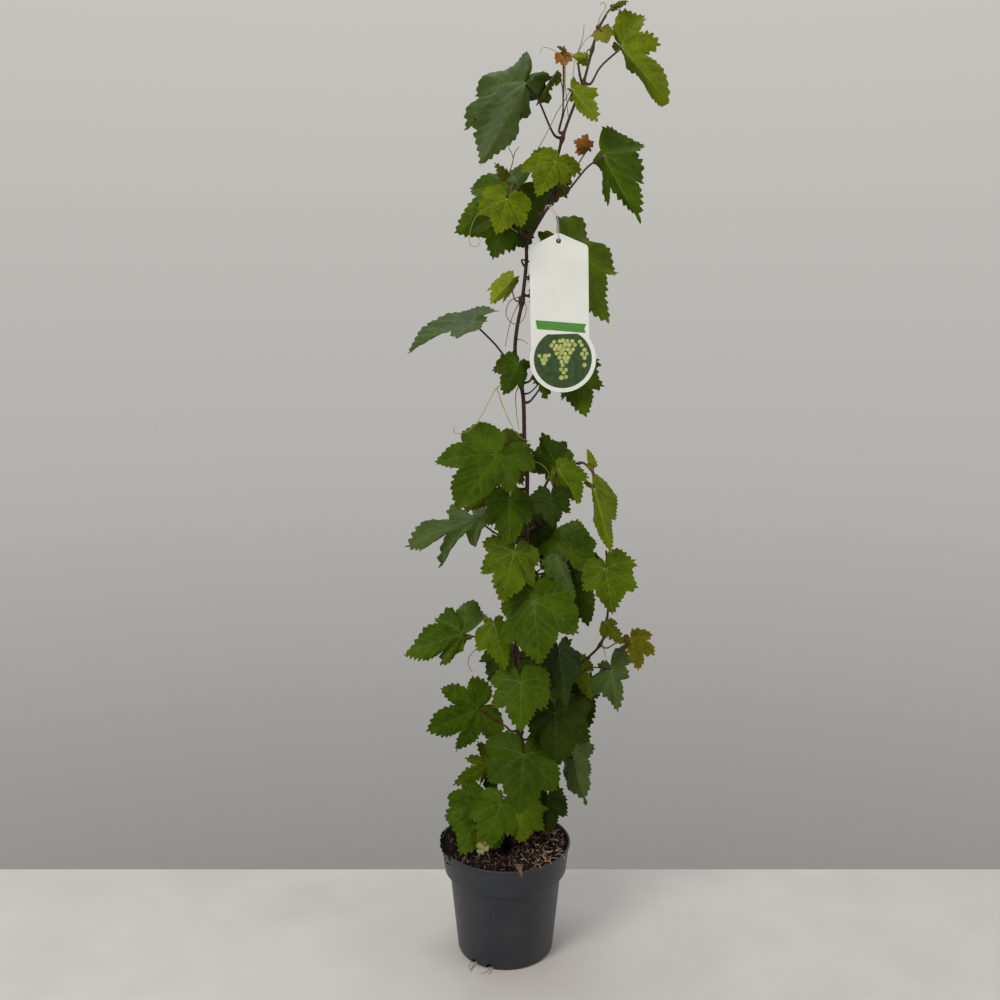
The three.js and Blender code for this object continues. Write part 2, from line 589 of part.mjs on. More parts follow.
      stalk: 0.8 },
    { at: [32, -6, 205], tip: [41, -12, 184], sides: [0.8, 0.8], fold: [12, 12], stalk: 0.7 }] },
  { limb: stem, height: 180, leaves: [
    { at: [55, 4, 204], tip: [56, -10, 164], sides: [0.85, 0.95], stalk: 0.8, via: [[34, 5, 192]] }] },
];

// The pot: one turned shell with a stepped collar, a rolled rim and drain holes at its bottom corner
function potGeometry() {
  const profile = [
    [0, 0], [potBaseRadius - 4, 0], [potBaseRadius - 1.2, 1.2], [potBaseRadius, 4],
    [potWaistRadius, potWaistHeight], [potCollarRadius, potCollarHeight],
    [potRimRadius - potRoll, potHeight - 4], [potRimRadius, potHeight - 2.6], [potRimRadius, potHeight],
    [potRimRadius - 2.2, potHeight], [potRimRadius - potRoll - potWall, potHeight - 4],
    [potCollarRadius - potWall, potCollarHeight + 2], [potWaistRadius - potWall, potWaistHeight + 2],
    [potBaseRadius - potWall, potFloor + 2], [potBaseRadius - potWall - 2, potFloor], [0, potFloor],
  ];
  const shell = new THREE.LatheGeometry(profile.map(([x, y]) => new THREE.Vector2(x, y)), potSides);
  shell.rotateX(Math.PI / 2);
  const pot = solidOf(shell);
  let drained = pot;
  for (let pair = 0; pair < drainPairs; pair += 1) {
    for (const side of [-0.5, 0.5]) {
      const turn = drainPairTurn + (360 * pair) / drainPairs + drainPairSpread * side;
      const drill = new THREE.CylinderGeometry(drainHoleRadius, drainHoleRadius, 16, 5);
      drill.rotateZ(Math.PI / 2);
      drill.translate(potBaseRadius, 0, potFloor);
      drill.rotateZ(turn * degrees);
      drained = drained.subtract(solidOf(drill));
    }
  }
  return geometryOf(drained);
}

// The potting mix: it fills the pot up to just under the rim, and dips towards the stem
function soilGeometry() {
  const wall = potWall + touchGap;
  const topRadius = potCollarRadius - wall + ((potRimRadius - potRoll - potCollarRadius) * 40) / 41;
  const profile = [
    [0, potFloor + touchGap], [potBaseRadius - wall - 2.2, potFloor + touchGap],
    [potBaseRadius - wall - 0.2, potFloor + 2.4], [potWaistRadius - wall - 0.1, potWaistHeight + 2.6],
    [potCollarRadius - wall - 0.2, potCollarHeight + 2.6], [topRadius - 0.6, soilEdgeHeight - 2],
  ];
  for (const share of [0.8, 0.5, 0.2, 0]) {
    profile.push([topRadius * share, soilEdgeHeight - soilDip * (1 - share * share)]);
  }
  const soil = new THREE.LatheGeometry(profile.map(([x, y]) => new THREE.Vector2(x, y)), potSides);
  soil.rotateX(Math.PI / 2);
  const bare = mergeVertices(soil.deleteAttribute("normal").deleteAttribute("uv"), 1e-3);
  const places = bare.attributes.position;
  for (let index = 0; index < places.count; index += 1) {
    const [x, y, z] = [places.getX(index), places.getY(index), places.getZ(index)];
    const away = Math.hypot(x, y);
    if (z > soilEdgeHeight - soilDip - 1 && away > 14) {
      const bump = Math.sin(x * 0.19 + 1) * Math.cos(y * 0.23 + 2) + 0.5 * Math.sin((x + y) * 0.31);
      places.setZ(index, z + soilRoughness * bump);
    }
  }
  return geometryOf(solidOf(bare));
}

// The old stalk stub by the topmost big leaf and the two by the middle knot stay on the stem
function stemGeometry() {
  const stubs = [
    [[88, 1, 1083], [85, 0, 1091], [82, -2, 1106]],
    [[18, 0, 741], [20, 2, 748], [22, 3, 756]],
    [[18, 0, 741], [28, -2, 744], [33, -3, 752]],
  ];
  const cuts = stubs.map((route) => {
    const curve = new THREE.CatmullRomCurve3(route.map(point));
    return tapered(curve, evenShares(3), (share) => stubFoot + (stubEnd - stubFoot) * share, limbSides);
  });
  return fused([limbGeometry(stem), ...cuts]);
}

// The hanging card: straight sides, a peak with a hole above and a round foot below
function cardGeometry() {
  const half = cardWidth / 2;
  const meetLeft = Math.acos((half + cardRoundShift) / cardRound);
  const meetRight = Math.acos((half - cardRoundShift) / cardRound);
  const outline = new THREE.Shape();
  outline.moveTo(0, 0);
  outline.lineTo(-half + cardShoulder, -cardPeak + 2);
  outline.lineTo(-half, -cardPeak - cardShoulder + 2);
  const [startAngle, endAngle] = [Math.PI - meetLeft, 2 * Math.PI + meetRight];
  outline.absarc(cardRoundShift, -cardRoundDrop, cardRound, startAngle, endAngle, false);
  outline.lineTo(half, -cardPeak - cardShoulder + 2);
  outline.lineTo(half - cardShoulder, -cardPeak + 2);
  outline.closePath();
  const hole = new THREE.Path();
  hole.absarc(0, -cardHoleDrop, cardHoleRadius, 0, 2 * Math.PI, true);
  outline.holes.push(hole);
  const depth = cardThickness;
  const card = new THREE.ExtrudeGeometry(outline, { depth, bevelEnabled: false, curveSegments: 9 });
  card.rotateX(Math.PI / 2);
  return card;
}

const cardTop = [61, -11, 917];

function placedCard() {
  const card = meshOf("hanging_card", geometryOf(solidOf(cardGeometry())), whiteCard);
  card.position.set(...cardTop);
  card.rotation.set(0, -cardLean * degrees, 0);
  return card;
}

// The string: a ring round the stem's knot, and two strands that run down and through the card's hole
function stringGeometry() {
  const knotHeight = 949;
  const share = stem.shareAt(knotHeight);
  const middle = stem.curve.getPointAt(share);
  const ringRadius = stem.radiusAt(share) + stringRadius + ringSlack;
  const ring = new THREE.TorusGeometry(ringRadius, stringRadius, 5, 12);
  ring.translate(...middle.toArray());
  const holeHeight = cardTop[2] - cardHoleDrop;
  const front = cardTop[1] - cardThickness - 1.6;
  const back = cardTop[1] + 1.6;
  const onRing = (turn) => {
    return [middle.x + ringRadius * Math.sin(turn), middle.y - ringRadius * Math.cos(turn), knotHeight];
  };
  const route = [
    onRing(-0.5), [cardTop[0] - 3, front, knotHeight - 16],
    [cardTop[0] - 1, front, holeHeight + 9], [cardTop[0], front, holeHeight + 1.5],
    [cardTop[0], cardTop[1] - cardThickness / 2, holeHeight - 0.4], [cardTop[0], back, holeHeight + 1.5],
    [cardTop[0] + 0.5, back - 0.4, holeHeight + 9], [cardTop[0] - 1, back - 2, knotHeight - 16],
    onRing(0.5),
  ];
  const curve = new THREE.CatmullRomCurve3(route.map(point), false, "centripetal");
  return fused([ring, tapered(curve, evenShares(20), () => stringRadius, 4)]);
}

const plant = new THREE.Group();
plant.add(meshOf("pot", potGeometry(), potPlastic));
plant.add(meshOf("potting_mix", soilGeometry(), pottingMix));
plant.add(meshOf("main_stem", stemGeometry(), brownBark));
plant.add(meshOf("shoot_lower_right", limbGeometry(lowerShoot), brownBark));
plant.add(meshOf("shoot_middle_right", limbGeometry(middleShoot), brownBark));
plant.add(placedCard());
plant.add(meshOf("card_string", stringGeometry(), paleString));
twigs.forEach((twig, index) => {
  const number = index + 1;
  plant.add(foliage(`foliage_${String(number).padStart(2, "0")}`, twig, number));
});

export default plant;
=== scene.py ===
import math

import bmesh
import bpy
import numpy as np
from mathutils import Matrix, Vector, noise
from mathutils.geometry import delaunay_2d_cdt


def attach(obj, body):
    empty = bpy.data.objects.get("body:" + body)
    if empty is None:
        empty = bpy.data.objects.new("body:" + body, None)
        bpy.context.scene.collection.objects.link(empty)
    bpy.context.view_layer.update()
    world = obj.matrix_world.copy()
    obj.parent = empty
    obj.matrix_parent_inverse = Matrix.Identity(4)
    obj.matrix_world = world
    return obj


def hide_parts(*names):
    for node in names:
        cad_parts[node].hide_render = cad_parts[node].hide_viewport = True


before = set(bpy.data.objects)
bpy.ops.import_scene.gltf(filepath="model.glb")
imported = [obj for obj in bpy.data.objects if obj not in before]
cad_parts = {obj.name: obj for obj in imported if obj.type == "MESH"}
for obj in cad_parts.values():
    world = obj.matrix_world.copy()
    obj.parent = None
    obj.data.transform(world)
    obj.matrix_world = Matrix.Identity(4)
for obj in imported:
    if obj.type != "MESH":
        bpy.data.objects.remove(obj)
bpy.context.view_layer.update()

# The view: the camera stands where the photograph was taken from, level with the upper leaves and
# looking a little down.
MM = 0.001
CAMERA_PLACE = (-0.0071, -1.328, 0.847)
CAMERA_DOWN = 10.6
CAMERA_LENS = 39.6
CAMERA_SENSOR = 36

scene = bpy.context.scene
scene.view_settings.view_transform = "Standard"
camera_data = bpy.data.cameras.new("view_camera")
camera_data.lens = CAMERA_LENS
camera_data.sensor_width = CAMERA_SENSOR
camera = bpy.data.objects.new("view_camera", camera_data)
camera.location = CAMERA_PLACE
camera.rotation_euler = (math.radians(90 - CAMERA_DOWN), 0, 0)
scene.collection.objects.link(camera)
scene.camera = camera


# The floor and the light: a plain pale floor with a broad soft lamp over the left shoulder of the
# camera, a weaker one on the right, and pale daylight from all round.
FLOOR_REACH = 6.0
FLOOR_BACK = 0.19


def linear(red, green, blue):
    """A colour as a screen shows it, 0 to 255, as the light that it sends back."""
    shares = [value / 255 for value in (red, green, blue)]
    return [share / 12.92 if share <= 0.04045 else ((share + 0.055) / 1.055) ** 2.4 for share in shares] + [1]


def new_material(name, roughness, specular=0.5):
    material = bpy.data.materials.new(name)
    material.use_nodes = True
    shader = material.node_tree.nodes["Principled BSDF"]
    shader.inputs["Roughness"].default_value = roughness
    shader.inputs["Specular IOR Level"].default_value = specular
    return material, shader


def add_node(material, kind, sockets, **settings):
    """A node with its settings, and each socket either joined to another node's or given a value."""
    node = material.node_tree.nodes.new(kind)
    for name, value in settings.items():
        setattr(node, name, value)
    for name, value in sockets.items():
        if isinstance(value, bpy.types.NodeSocket):
            material.node_tree.links.new(value, node.inputs[name])
        else:
            node.inputs[name].default_value = value
    return node


def join_to(material, source, shader, socket):
    material.node_tree.links.new(source, shader.inputs[socket])


def object_place(material, stretch=(1, 1, 1)):
    place = add_node(material, "ShaderNodeTexCoord", {}).outputs["Object"]
    return add_node(material, "ShaderNodeMapping", {"Vector": place, "Scale": stretch}).outputs["Vector"]


def noise_at(material, place, scale, detail=3.0, roughness=0.5):
    sockets = {"Vector": place, "Scale": scale, "Detail": detail, "Roughness": roughness}
    return add_node(material, "ShaderNodeTexNoise", sockets).outputs["Fac"]


def shades(material, share, stops):
    """A colour that runs through the given stops, each a place from 0 to 1 and a colour."""
    ramp = add_node(material, "ShaderNodeValToRGB", {"Fac": share})
    elements = ramp.color_ramp.elements
    for index, (place, colour) in enumerate(stops):
        element = elements[index] if index < 2 else elements.new(place)
        element.position = place
        element.color = colour
    return ramp.outputs["Color"]


def bumped(material, shader, height, strength, distance):
    sockets = {"Height": height, "Strength": strength, "Distance": distance}
    join_to(material, add_node(material, "ShaderNodeBump", sockets).outputs["Normal"], shader, "Normal")


def grained(name, roughness, specular, grain, low, high, bump=None):
    """A material whose colour wanders between two tones. The grain is its scale, its detail and, where
    it has one, its roughness, and it can be raised a little too."""
    material, shader = new_material(name, roughness, specular)
    height = noise_at(material, object_place(material), *grain)
    tones = [(0.35, linear(*low)), (0.65, linear(*high))]
    join_to(material, shades(material, height, tones), shader, "Base Color")
    if bump:
        bumped(material, shader, height, *bump)
    return material


def share_of_height(material, space, low, high, most=1.0):
    """How far a place has come from the low height to the high one, up to the most."""
    place = add_node(material, "ShaderNodeTexCoord", {}).outputs[space]
    height = add_node(material, "ShaderNodeSeparateXYZ", {"Vector": place}).outputs["Z"]
    sockets = {"Value": height, "From Min": low, "From Max": high, "To Max": most}
    return add_node(material, "ShaderNodeMapRange", sockets).outputs["Result"]


def mesh_from(shape, name):
    """The finished mesh of a bmesh, with its doubles merged and its faces pointing out."""
    bmesh.ops.remove_doubles(shape, verts=shape.verts, dist=1e-6)
    bmesh.ops.recalc_face_normals(shape, faces=shape.faces)
    mesh = bpy.data.meshes.new(name)
    shape.to_mesh(mesh)
    shape.free()
    return mesh


floor_shape = bmesh.new()
bmesh.ops.create_grid(floor_shape, x_segments=1, y_segments=1, size=FLOOR_REACH)
for vert in floor_shape.verts:
    vert.co.y = min(vert.co.y, FLOOR_BACK)
floor = bpy.data.objects.new("floor", mesh_from(floor_shape, "floor"))
floor_paint = grained("floor_paint", 0.75, 0.3, (9.0, 4.0), (198, 194, 188), (204, 200, 194))
floor.data.materials.append(floor_paint)
scene.collection.objects.link(floor)


def add_lamp(name, place, aim, size, power, colour):
    lamp_data = bpy.data.lights.new(name, "AREA")
    lamp_data.shape = "DISK"
    lamp_data.size = size
    lamp_data.energy = power
    lamp_data.color = colour[:3]
    lamp = bpy.data.objects.new(name, lamp_data)
    lamp.location = place
    lamp.rotation_euler = (Vector(aim) - Vector(place)).to_track_quat("-Z", "Y").to_euler()
    scene.collection.objects.link(lamp)


add_lamp("front_lamp", (-1.5, -1.9, 2.6), (0, 0, 0.6), 1.2, 52, (1.0, 0.98, 0.94))
add_lamp("side_lamp", (2.2, -0.9, 1.5), (0, 0, 0.6), 1.4, 12, (1.0, 0.97, 0.92))
add_lamp("top_lamp", (-0.2, 0.6, 2.9), (0, 0, 0.8), 1.8, 22, (0.86, 0.93, 1.0))
daylight = bpy.data.worlds.new("daylight")
daylight.use_nodes = True
daylight_tones = [
    (0.0, linear(140, 139, 135)), (0.21, linear(176, 175, 171)), (0.49, linear(197, 195, 190)),
    (1.0, linear(150, 152, 155)),
]
daylight_colour = shades(daylight, share_of_height(daylight, "Generated", -0.5, 1.0), daylight_tones)
join_to(daylight, daylight_colour, daylight.node_tree.nodes["Background"], "Color")
scene.world = daylight


# The pot: one thin moulded shell of dark grey recycled plastic, slightly glossy. It has a round bottom
# corner with three pairs of drain holes, a stepped collar and a small rolled rim, and carries some dirt.
POT_HEIGHT = 149
POT_BASE = 62.3
POT_WAIST = 72.4
POT_WAIST_HEIGHT = 109
POT_COLLAR = 79
POT_COLLAR_HEIGHT = 112
POT_RIM = 84
POT_ROLL = 1.6
POT_WALL = 1.8
POT_FLOOR = 3
POT_SIDES = 128
DRAIN_PAIRS = 3
DRAIN_PAIR_TURN = 240.5
DRAIN_PAIR_SPREAD = 21
DRAIN_RADIUS = 4.8


def between(material, share, low, high):
    """A number that runs from low to high as the share runs from 0 to 1."""
    sockets = {"Value": share, "To Min": low, "To Max": high}
    return add_node(material, "ShaderNodeMapRange", sockets).outputs["Result"]


def blend(material, share, first, second):
    sockets = {"Factor": share, "A": first, "B": second}
    return add_node(material, "ShaderNodeMix", sockets, data_type="RGBA").outputs["Result"]


def rising(material, share, low, high):
    """A share that goes from none to all while another one goes from low to high."""
    return shades(material, share, [(low, (0, 0, 0, 1)), (high, (1, 1, 1, 1))])


def add_piece(name, mesh, materials, slot, *nodes):
    """Puts a finished mesh in the scene as a piece of the plant that stands for the given nodes."""
    piece = bpy.data.objects.new(name, mesh)
    for material in materials:
        mesh.materials.append(material)
    scene.collection.objects.link(piece)
    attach(piece, "root")
    if nodes:
        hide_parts(*nodes)


def shade_round(mesh, angle):
    """Shades a mesh smooth, but for edges sharper than an angle."""
    mesh.shade_smooth()
    mesh.set_sharp_from_angle(angle=math.radians(angle))


def spun(profile, sides, softened=()):
    """A closed round shell from its profile of radius and height, with its softened corners rounded."""
    shape = bmesh.new()
    corners = [shape.verts.new((radius * MM, 0, height * MM)) for radius, height in profile]
    for start, end in zip(corners, corners[1:]):
        shape.edges.new((start, end))
    for radius, chosen in softened:
        bmesh.ops.bevel(
            shape, geom=[corners[index] for index in chosen], offset=radius * MM, segments=5,
            profile=0.5, affect="VERTICES", material=-1, offset_type="OFFSET",
        )
    bmesh.ops.spin(
        shape, geom=shape.verts[:] + shape.edges[:], cent=(0, 0, 0), axis=(0, 0, 1),
        angle=2 * math.pi, steps=sides, use_merge=True,
    )
    return shape


pot_profile = [
    (0, 0), (POT_BASE - 4, 0), (POT_BASE - 1.2, 1.2), (POT_BASE, 4), (POT_WAIST, POT_WAIST_HEIGHT),
    (POT_COLLAR, POT_COLLAR_HEIGHT),
    (POT_RIM - POT_ROLL, POT_HEIGHT - 4.2), (POT_RIM, POT_HEIGHT - 3), (POT_RIM, POT_HEIGHT),
    (POT_RIM - 2.2, POT_HEIGHT), (POT_RIM - POT_ROLL - POT_WALL, POT_HEIGHT - 4),
    (POT_COLLAR - POT_WALL, POT_COLLAR_HEIGHT + 2), (POT_WAIST - POT_WALL, POT_WAIST_HEIGHT + 2),
    (POT_BASE - POT_WALL, POT_FLOOR + 2), (POT_BASE - POT_WALL - 2, POT_FLOOR), (0, POT_FLOOR),
]
pot_corners = [(0.7, (7, 8, 9)), (0.7, (5,)), (0.5, (4,))]
pot_mesh = mesh_from(spun(pot_profile, POT_SIDES, pot_corners), "pot")

drill_shape = bmesh.new()
drain_turns = [
    DRAIN_PAIR_TURN + 360 * pair / DRAIN_PAIRS + DRAIN_PAIR_SPREAD * side
    for pair in range(DRAIN_PAIRS) for side in (-0.5, 0.5)
]
for drain_turn in drain_turns:
    turn = Matrix.Rotation(math.radians(drain_turn), 4, "Z")
    place = turn @ Matrix.Translation((POT_BASE * MM, 0, POT_FLOOR * MM))
    bmesh.ops.create_cone(
        drill_shape, cap_ends=True, segments=20, radius1=DRAIN_RADIUS * MM, radius2=DRAIN_RADIUS * MM,
        depth=16 * MM, matrix=place @ Matrix.Rotation(math.pi / 2, 4, "Y"),
    )
drill = bpy.data.objects.new("drill", mesh_from(drill_shape, "drill"))
undrilled = bpy.data.objects.new("undrilled", pot_mesh)
for helper in (drill, undrilled):
    scene.collection.objects.link(helper)
cut = undrilled.modifiers.new("drain_holes", "BOOLEAN")
cut.operation = "DIFFERENCE"
cut.solver = "EXACT"
cut.object = drill
drained = bpy.data.meshes.new_from_object(undrilled.evaluated_get(bpy.context.evaluated_depsgraph_get()))
for helper in (drill, undrilled):
    bpy.data.objects.remove(helper)
drained.name = "pot_shell"
shade_round(drained, 35)

pot_plastic, pot_shader = new_material("pot_plastic", 0.42, 0.45)
pot_place = object_place(pot_plastic)
pot_cloud = noise_at(pot_plastic, pot_place, 28.0, 4.0)
pot_speck = noise_at(pot_plastic, pot_place, 420.0, 2.0, 0.6)
pot_tones = [(0.3, linear(34, 37, 44)), (0.5, linear(39, 42, 49)), (0.72, linear(46, 48, 54))]
clean_plastic = shades(pot_plastic, pot_cloud, pot_tones)
dirt_share = rising(pot_plastic, pot_speck, 0.66, 0.72)
dirty_plastic = blend(pot_plastic, dirt_share, clean_plastic, linear(74, 66, 58))
join_to(pot_plastic, dirty_plastic, pot_shader, "Base Color")
join_to(pot_plastic, between(pot_plastic, pot_cloud, 0.34, 0.5), pot_shader, "Roughness")
bumped(pot_plastic, pot_shader, noise_at(pot_plastic, pot_place, 900.0, 2.0), 0.08, 0.0004)
add_piece("pot_shell", drained, [pot_plastic], "pot_plastic", "pot")


# The potting mix: dark peat that fills the pot to just under its rim and sinks a little towards the
# stem, and a deep hollow by the stem's foot whose shade is painted almost black. It lies loose in the pot.
SOIL_EDGE = 146
SOIL_DIP = 4.5
SOIL_ROUGHNESS = 1.5
HOLLOW_PLACE = (-3, 11)
HOLLOW_REACH = (13, 33)
HOLLOW_DEPTH = 17
SOIL_RADIUS = 80.2
SOIL_RINGS = 44
SOIL_SIDES = 120


def from_hollow(x, y):
    """How far a place is from the hollow's middle, as a share of the way to its edge."""
    return np.hypot((x - HOLLOW_PLACE[0]) / HOLLOW_REACH[0], (y - HOLLOW_PLACE[1]) / HOLLOW_REACH[1])


def soil_height(x, y):
    """The height of the mix at a place, both in millimetres."""
    away = math.hypot(x, y) / SOIL_RADIUS
    lump = noise.noise((x * 0.09, y * 0.09, 0.5)) + 0.6 * noise.noise((x * 0.3, y * 0.3, 7.5))
    height = SOIL_EDGE - SOIL_DIP * max(0, 1 - away * away) + SOIL_ROUGHNESS * lump
    return height - HOLLOW_DEPTH * math.exp(-(from_hollow(x, y) ** 2))


soil_wall = POT_WALL + 0.3
soil_profile = [
    (0, POT_FLOOR + 0.3), (POT_BASE - soil_wall - 2.2, POT_FLOOR + 0.3),
    (POT_BASE - soil_wall - 0.2, POT_FLOOR + 2.4), (POT_WAIST - soil_wall - 0.1, POT_WAIST_HEIGHT + 2.6),
    (POT_COLLAR - soil_wall - 0.2, POT_COLLAR_HEIGHT + 2.6), (SOIL_RADIUS - 0.4, SOIL_EDGE - 2.5),
]
soil_profile += [(SOIL_RADIUS * (1 - ring / SOIL_RINGS), SOIL_EDGE) for ring in range(SOIL_RINGS + 1)]
soil_shape = spun(soil_profile, SOIL_SIDES)
for vert in soil_shape.verts:
    if vert.co.z > (SOIL_EDGE - 1) * MM:
        vert.co.z = soil_height(vert.co.x / MM, vert.co.y / MM) * MM
soil_mesh = mesh_from(soil_shape, "potting_soil")
soil_mesh.shade_smooth()
peat, peat_shader = new_material("peat", 0.95, 0.15)
peat_crumb = noise_at(peat, object_place(peat), 520.0, 5.0, 0.65)
peat_tones = [(0.35, linear(10, 7, 6)), (0.55, linear(20, 14, 11)), (0.75, linear(42, 30, 23))]
# Painted shade: peat lower than 134 mm, as deep in the hollow, is almost black.
out_of_painted_shade = share_of_height(peat, "Object", 0.134, 0.142)
peat_and_painted_shade = blend(peat, out_of_painted_shade, linear(7, 5, 5), shades(peat, peat_crumb, peat_tones))
join_to(peat, peat_and_painted_shade, peat_shader, "Base Color")
bumped(peat, peat_shader, peat_crumb, 0.9, 0.0018)
add_piece("potting_soil", soil_mesh, [peat], "potting_mix", "potting_mix")


# The chips: slivers of bark and coconut fibre that lie all over the mix in a loose layer, from almost
# black to pale tan. They are dry and dull, and one long flake hangs over the front of the rim.
CHIP_COUNT = 3800
CHIP_CORNERS = 12
CHIP_FACES = 10
LOW_LAYER = dict(longest=12, lift=0.9)
TOP_LAYER = dict(longest=15, lift=2.6)
HOLLOW_EDGE = 1.1
DRYNESS_RUN = 650
DRYNESS_LEVELS = (0.5, 0.77, 0.93)
chips_random = np.random.default_rng(11)


def oriented(points, yaw, pitch, roll):
    """Turns each chip's points, given with one row for each chip, by that chip's three angles."""
    for angle, first, second in ((roll, 1, 2), (pitch, 0, 2), (yaw, 0, 1)):
        cosine, sine = np.cos(angle)[:, None], np.sin(angle)[:, None]
        one, two = points[:, :, first].copy(), points[:, :, second].copy()
        points[:, :, first] = one * cosine - two * sine
        points[:, :, second] = one * sine + two * cosine
    return points


def ring_faces(rings, sides):
    """The faces of a closed tube, whose corners are counted ring by ring."""
    last = sides * (rings - 1)
    faces = [tuple(range(sides))[::-1], tuple(range(last, last + sides))]
    for start in range(0, last, sides):
        for side in range(sides):
            following = (side + 1) % sides
            faces.append((start + side, start + following, start + sides + following, start + sides + side))
    return faces


def mesh_of(name, points, faces):
    """A mesh straight from its points, in millimetres, and its faces."""
    mesh = bpy.data.meshes.new(name)
    mesh.from_pydata((points * MM).tolist(), [], faces)
    return mesh


def slivers(places, half_sizes, angles, bends, ends):
    """Joined bent slivers, each of three rings of four corners: places, vertices and faces."""
    around = np.array([(-1, -1), (1, -1), (1, 1), (-1, 1)], float)
    points = np.zeros((len(places), CHIP_CORNERS, 3))
    for ring, along in enumerate((-1, 0, 1)):
        taper = ends[:, ring][:, None]
        rows = slice(4 * ring, 4 * ring + 4)
        points[:, rows, 0] = along * half_sizes[:, :1]
        points[:, rows, 1] = around[:, 0] * half_sizes[:, 1:2] * taper
        points[:, rows, 2] = around[:, 1] * half_sizes[:, 2:3] * taper
        points[:, rows, 2] += (1 - abs(along)) * bends[:, None]
    points = oriented(points, *angles) + places[:, None, :]
    starts = CHIP_CORNERS * np.arange(len(places))[:, None, None]
    return points.reshape(-1, 3), (np.array(ring_faces(3, 4)) + starts).reshape(-1, 4)


def chip_layer(count, draws, longest, lift):
    """Chips strewn evenly over the mix: mostly short ones, none longer than the longest."""
    reach = SOIL_RADIUS - 2
    radius = reach * np.sqrt(draws.random(count))
    turn = 2 * math.pi * draws.random(count)
    long = longest * (0.3 + 0.7 * draws.random(count) ** 1.6)
    radius = np.minimum(radius, reach - long * 0.35)
    x, y = radius * np.cos(turn), radius * np.sin(turn)
    z = np.array([soil_height(*spot) for spot in zip(x, y)]) + lift * (0.15 + draws.random(count))
    wide = 0.35 + 1.0 * draws.random(count) ** 2
    half_sizes = np.stack([long / 2, wide, 0.2 + 0.35 * draws.random(count)], 1)
    yaw, pitch = 2 * math.pi * draws.random(count), 0.42 * draws.normal(size=count)
    angles = (yaw, pitch, 0.6 * draws.normal(size=count))
    bends = 0.08 * long * draws.normal(size=count)
    ends = np.stack([0.25 + 0.6 * draws.random(count), np.ones(count), 0.2 + 0.5 * draws.random(count)], 1)
    return slivers(np.stack([x, y, z], 1), half_sizes, angles, bends, ends)


CHIP_TONES = {
    "chip_black": (18, 12, 10), "chip_brown": (58, 38, 30), "chip_tan": (142, 106, 84),
    "chip_pale": (208, 176, 152),
}
chip_materials = [
    grained(name, 0.85, 0.25, (650.0, 4.0, 0.6), [value * 0.62 for value in tone], tone, (0.6, 0.0006))
    for name, tone in CHIP_TONES.items()
]

low_points, low_faces = chip_layer(CHIP_COUNT // 2, chips_random, **LOW_LAYER)
high_points, high_faces = chip_layer(CHIP_COUNT // 2, chips_random, **TOP_LAYER)
chip_points = np.concatenate([low_points, high_points])
chip_faces = np.concatenate([low_faces, high_faces + len(low_points)])
chips_mesh = mesh_of("bark_chips", chip_points, chip_faces.tolist())
chip_spots = chip_points.reshape(-1, CHIP_CORNERS, 3).mean(1)
dryness = chips_random.random(CHIP_COUNT) + (chip_spots[:, 0] + 0.3 * chip_spots[:, 1]) / DRYNESS_RUN
# Painted shade: every chip that lies in the hollow takes the almost black tone.
painted_shade_in_hollow = from_hollow(chip_spots[:, 0], chip_spots[:, 1]) < HOLLOW_EDGE
chip_tone = np.where(painted_shade_in_hollow, 0, np.digitize(dryness, DRYNESS_LEVELS))
chips_mesh.polygons.foreach_set("material_index", np.repeat(chip_tone, CHIP_FACES).astype(np.int32))
add_piece("bark_chips", chips_mesh, chip_materials, "potting_mix")

FLAKE_ROUTE = (
    (11, -69, 149), (13.5, -75, 154), (15.5, -81, 154.5), (17.5, -84.9, 150), (19.5, -85.4, 142),
)
FLAKE_HALF_WIDTHS = (2.0, 3.7, 4.2, 3.0, 0.6)
FLAKE_EDGE = (
    (-1, 0.9), (-0.55, 0.45), (0, 0.35), (0.55, 0.45), (1, 0.9), (0.55, -0.1), (0, -0.25), (-0.55, -0.1),
)
FLAKE_ROWS = 22
FLAKE_MARKS = range(len(FLAKE_ROUTE))
flake_shape = bmesh.new()
flake_corners = []
for row in range(FLAKE_ROWS):
    share = FLAKE_MARKS[-1] * row / (FLAKE_ROWS - 1)
    middle = np.array([np.interp(share, FLAKE_MARKS, axis) for axis in zip(*FLAKE_ROUTE)])
    half_width = np.interp(share, FLAKE_MARKS, FLAKE_HALF_WIDTHS) * (1 + 0.16 * math.sin(5.3 * row))
    rise = 0.5 * math.sin(1.9 * row)
    for side, lift in FLAKE_EDGE:
        reach = (side * half_width, -0.5 * lift, 1.6 * lift + 0.2 * rise * side)
        flake_corners.append(flake_shape.verts.new(Vector(middle + reach) * MM))
for face in ring_faces(FLAKE_ROWS, len(FLAKE_EDGE)):
    flake_shape.faces.new([flake_corners[corner] for corner in face])
flake_mesh = mesh_from(flake_shape, "rim_flake")
shade_round(flake_mesh, 50)
flake_skin, flake_shader = new_material("dry_bark", 0.8, 0.25)
flake_fibre = noise_at(flake_skin, object_place(flake_skin, (1, 0.35, 0.35)), 900.0, 4.0, 0.6)
flake_stops = [(0.38, linear(48, 32, 24)), (0.5, linear(98, 70, 52)), (0.64, linear(158, 122, 96))]
join_to(flake_skin, shades(flake_skin, flake_fibre, flake_stops), flake_shader, "Base Color")
bumped(flake_skin, flake_shader, flake_fibre, 0.7, 0.0007)
add_piece("rim_flake", flake_mesh, [flake_skin], "potting_mix")


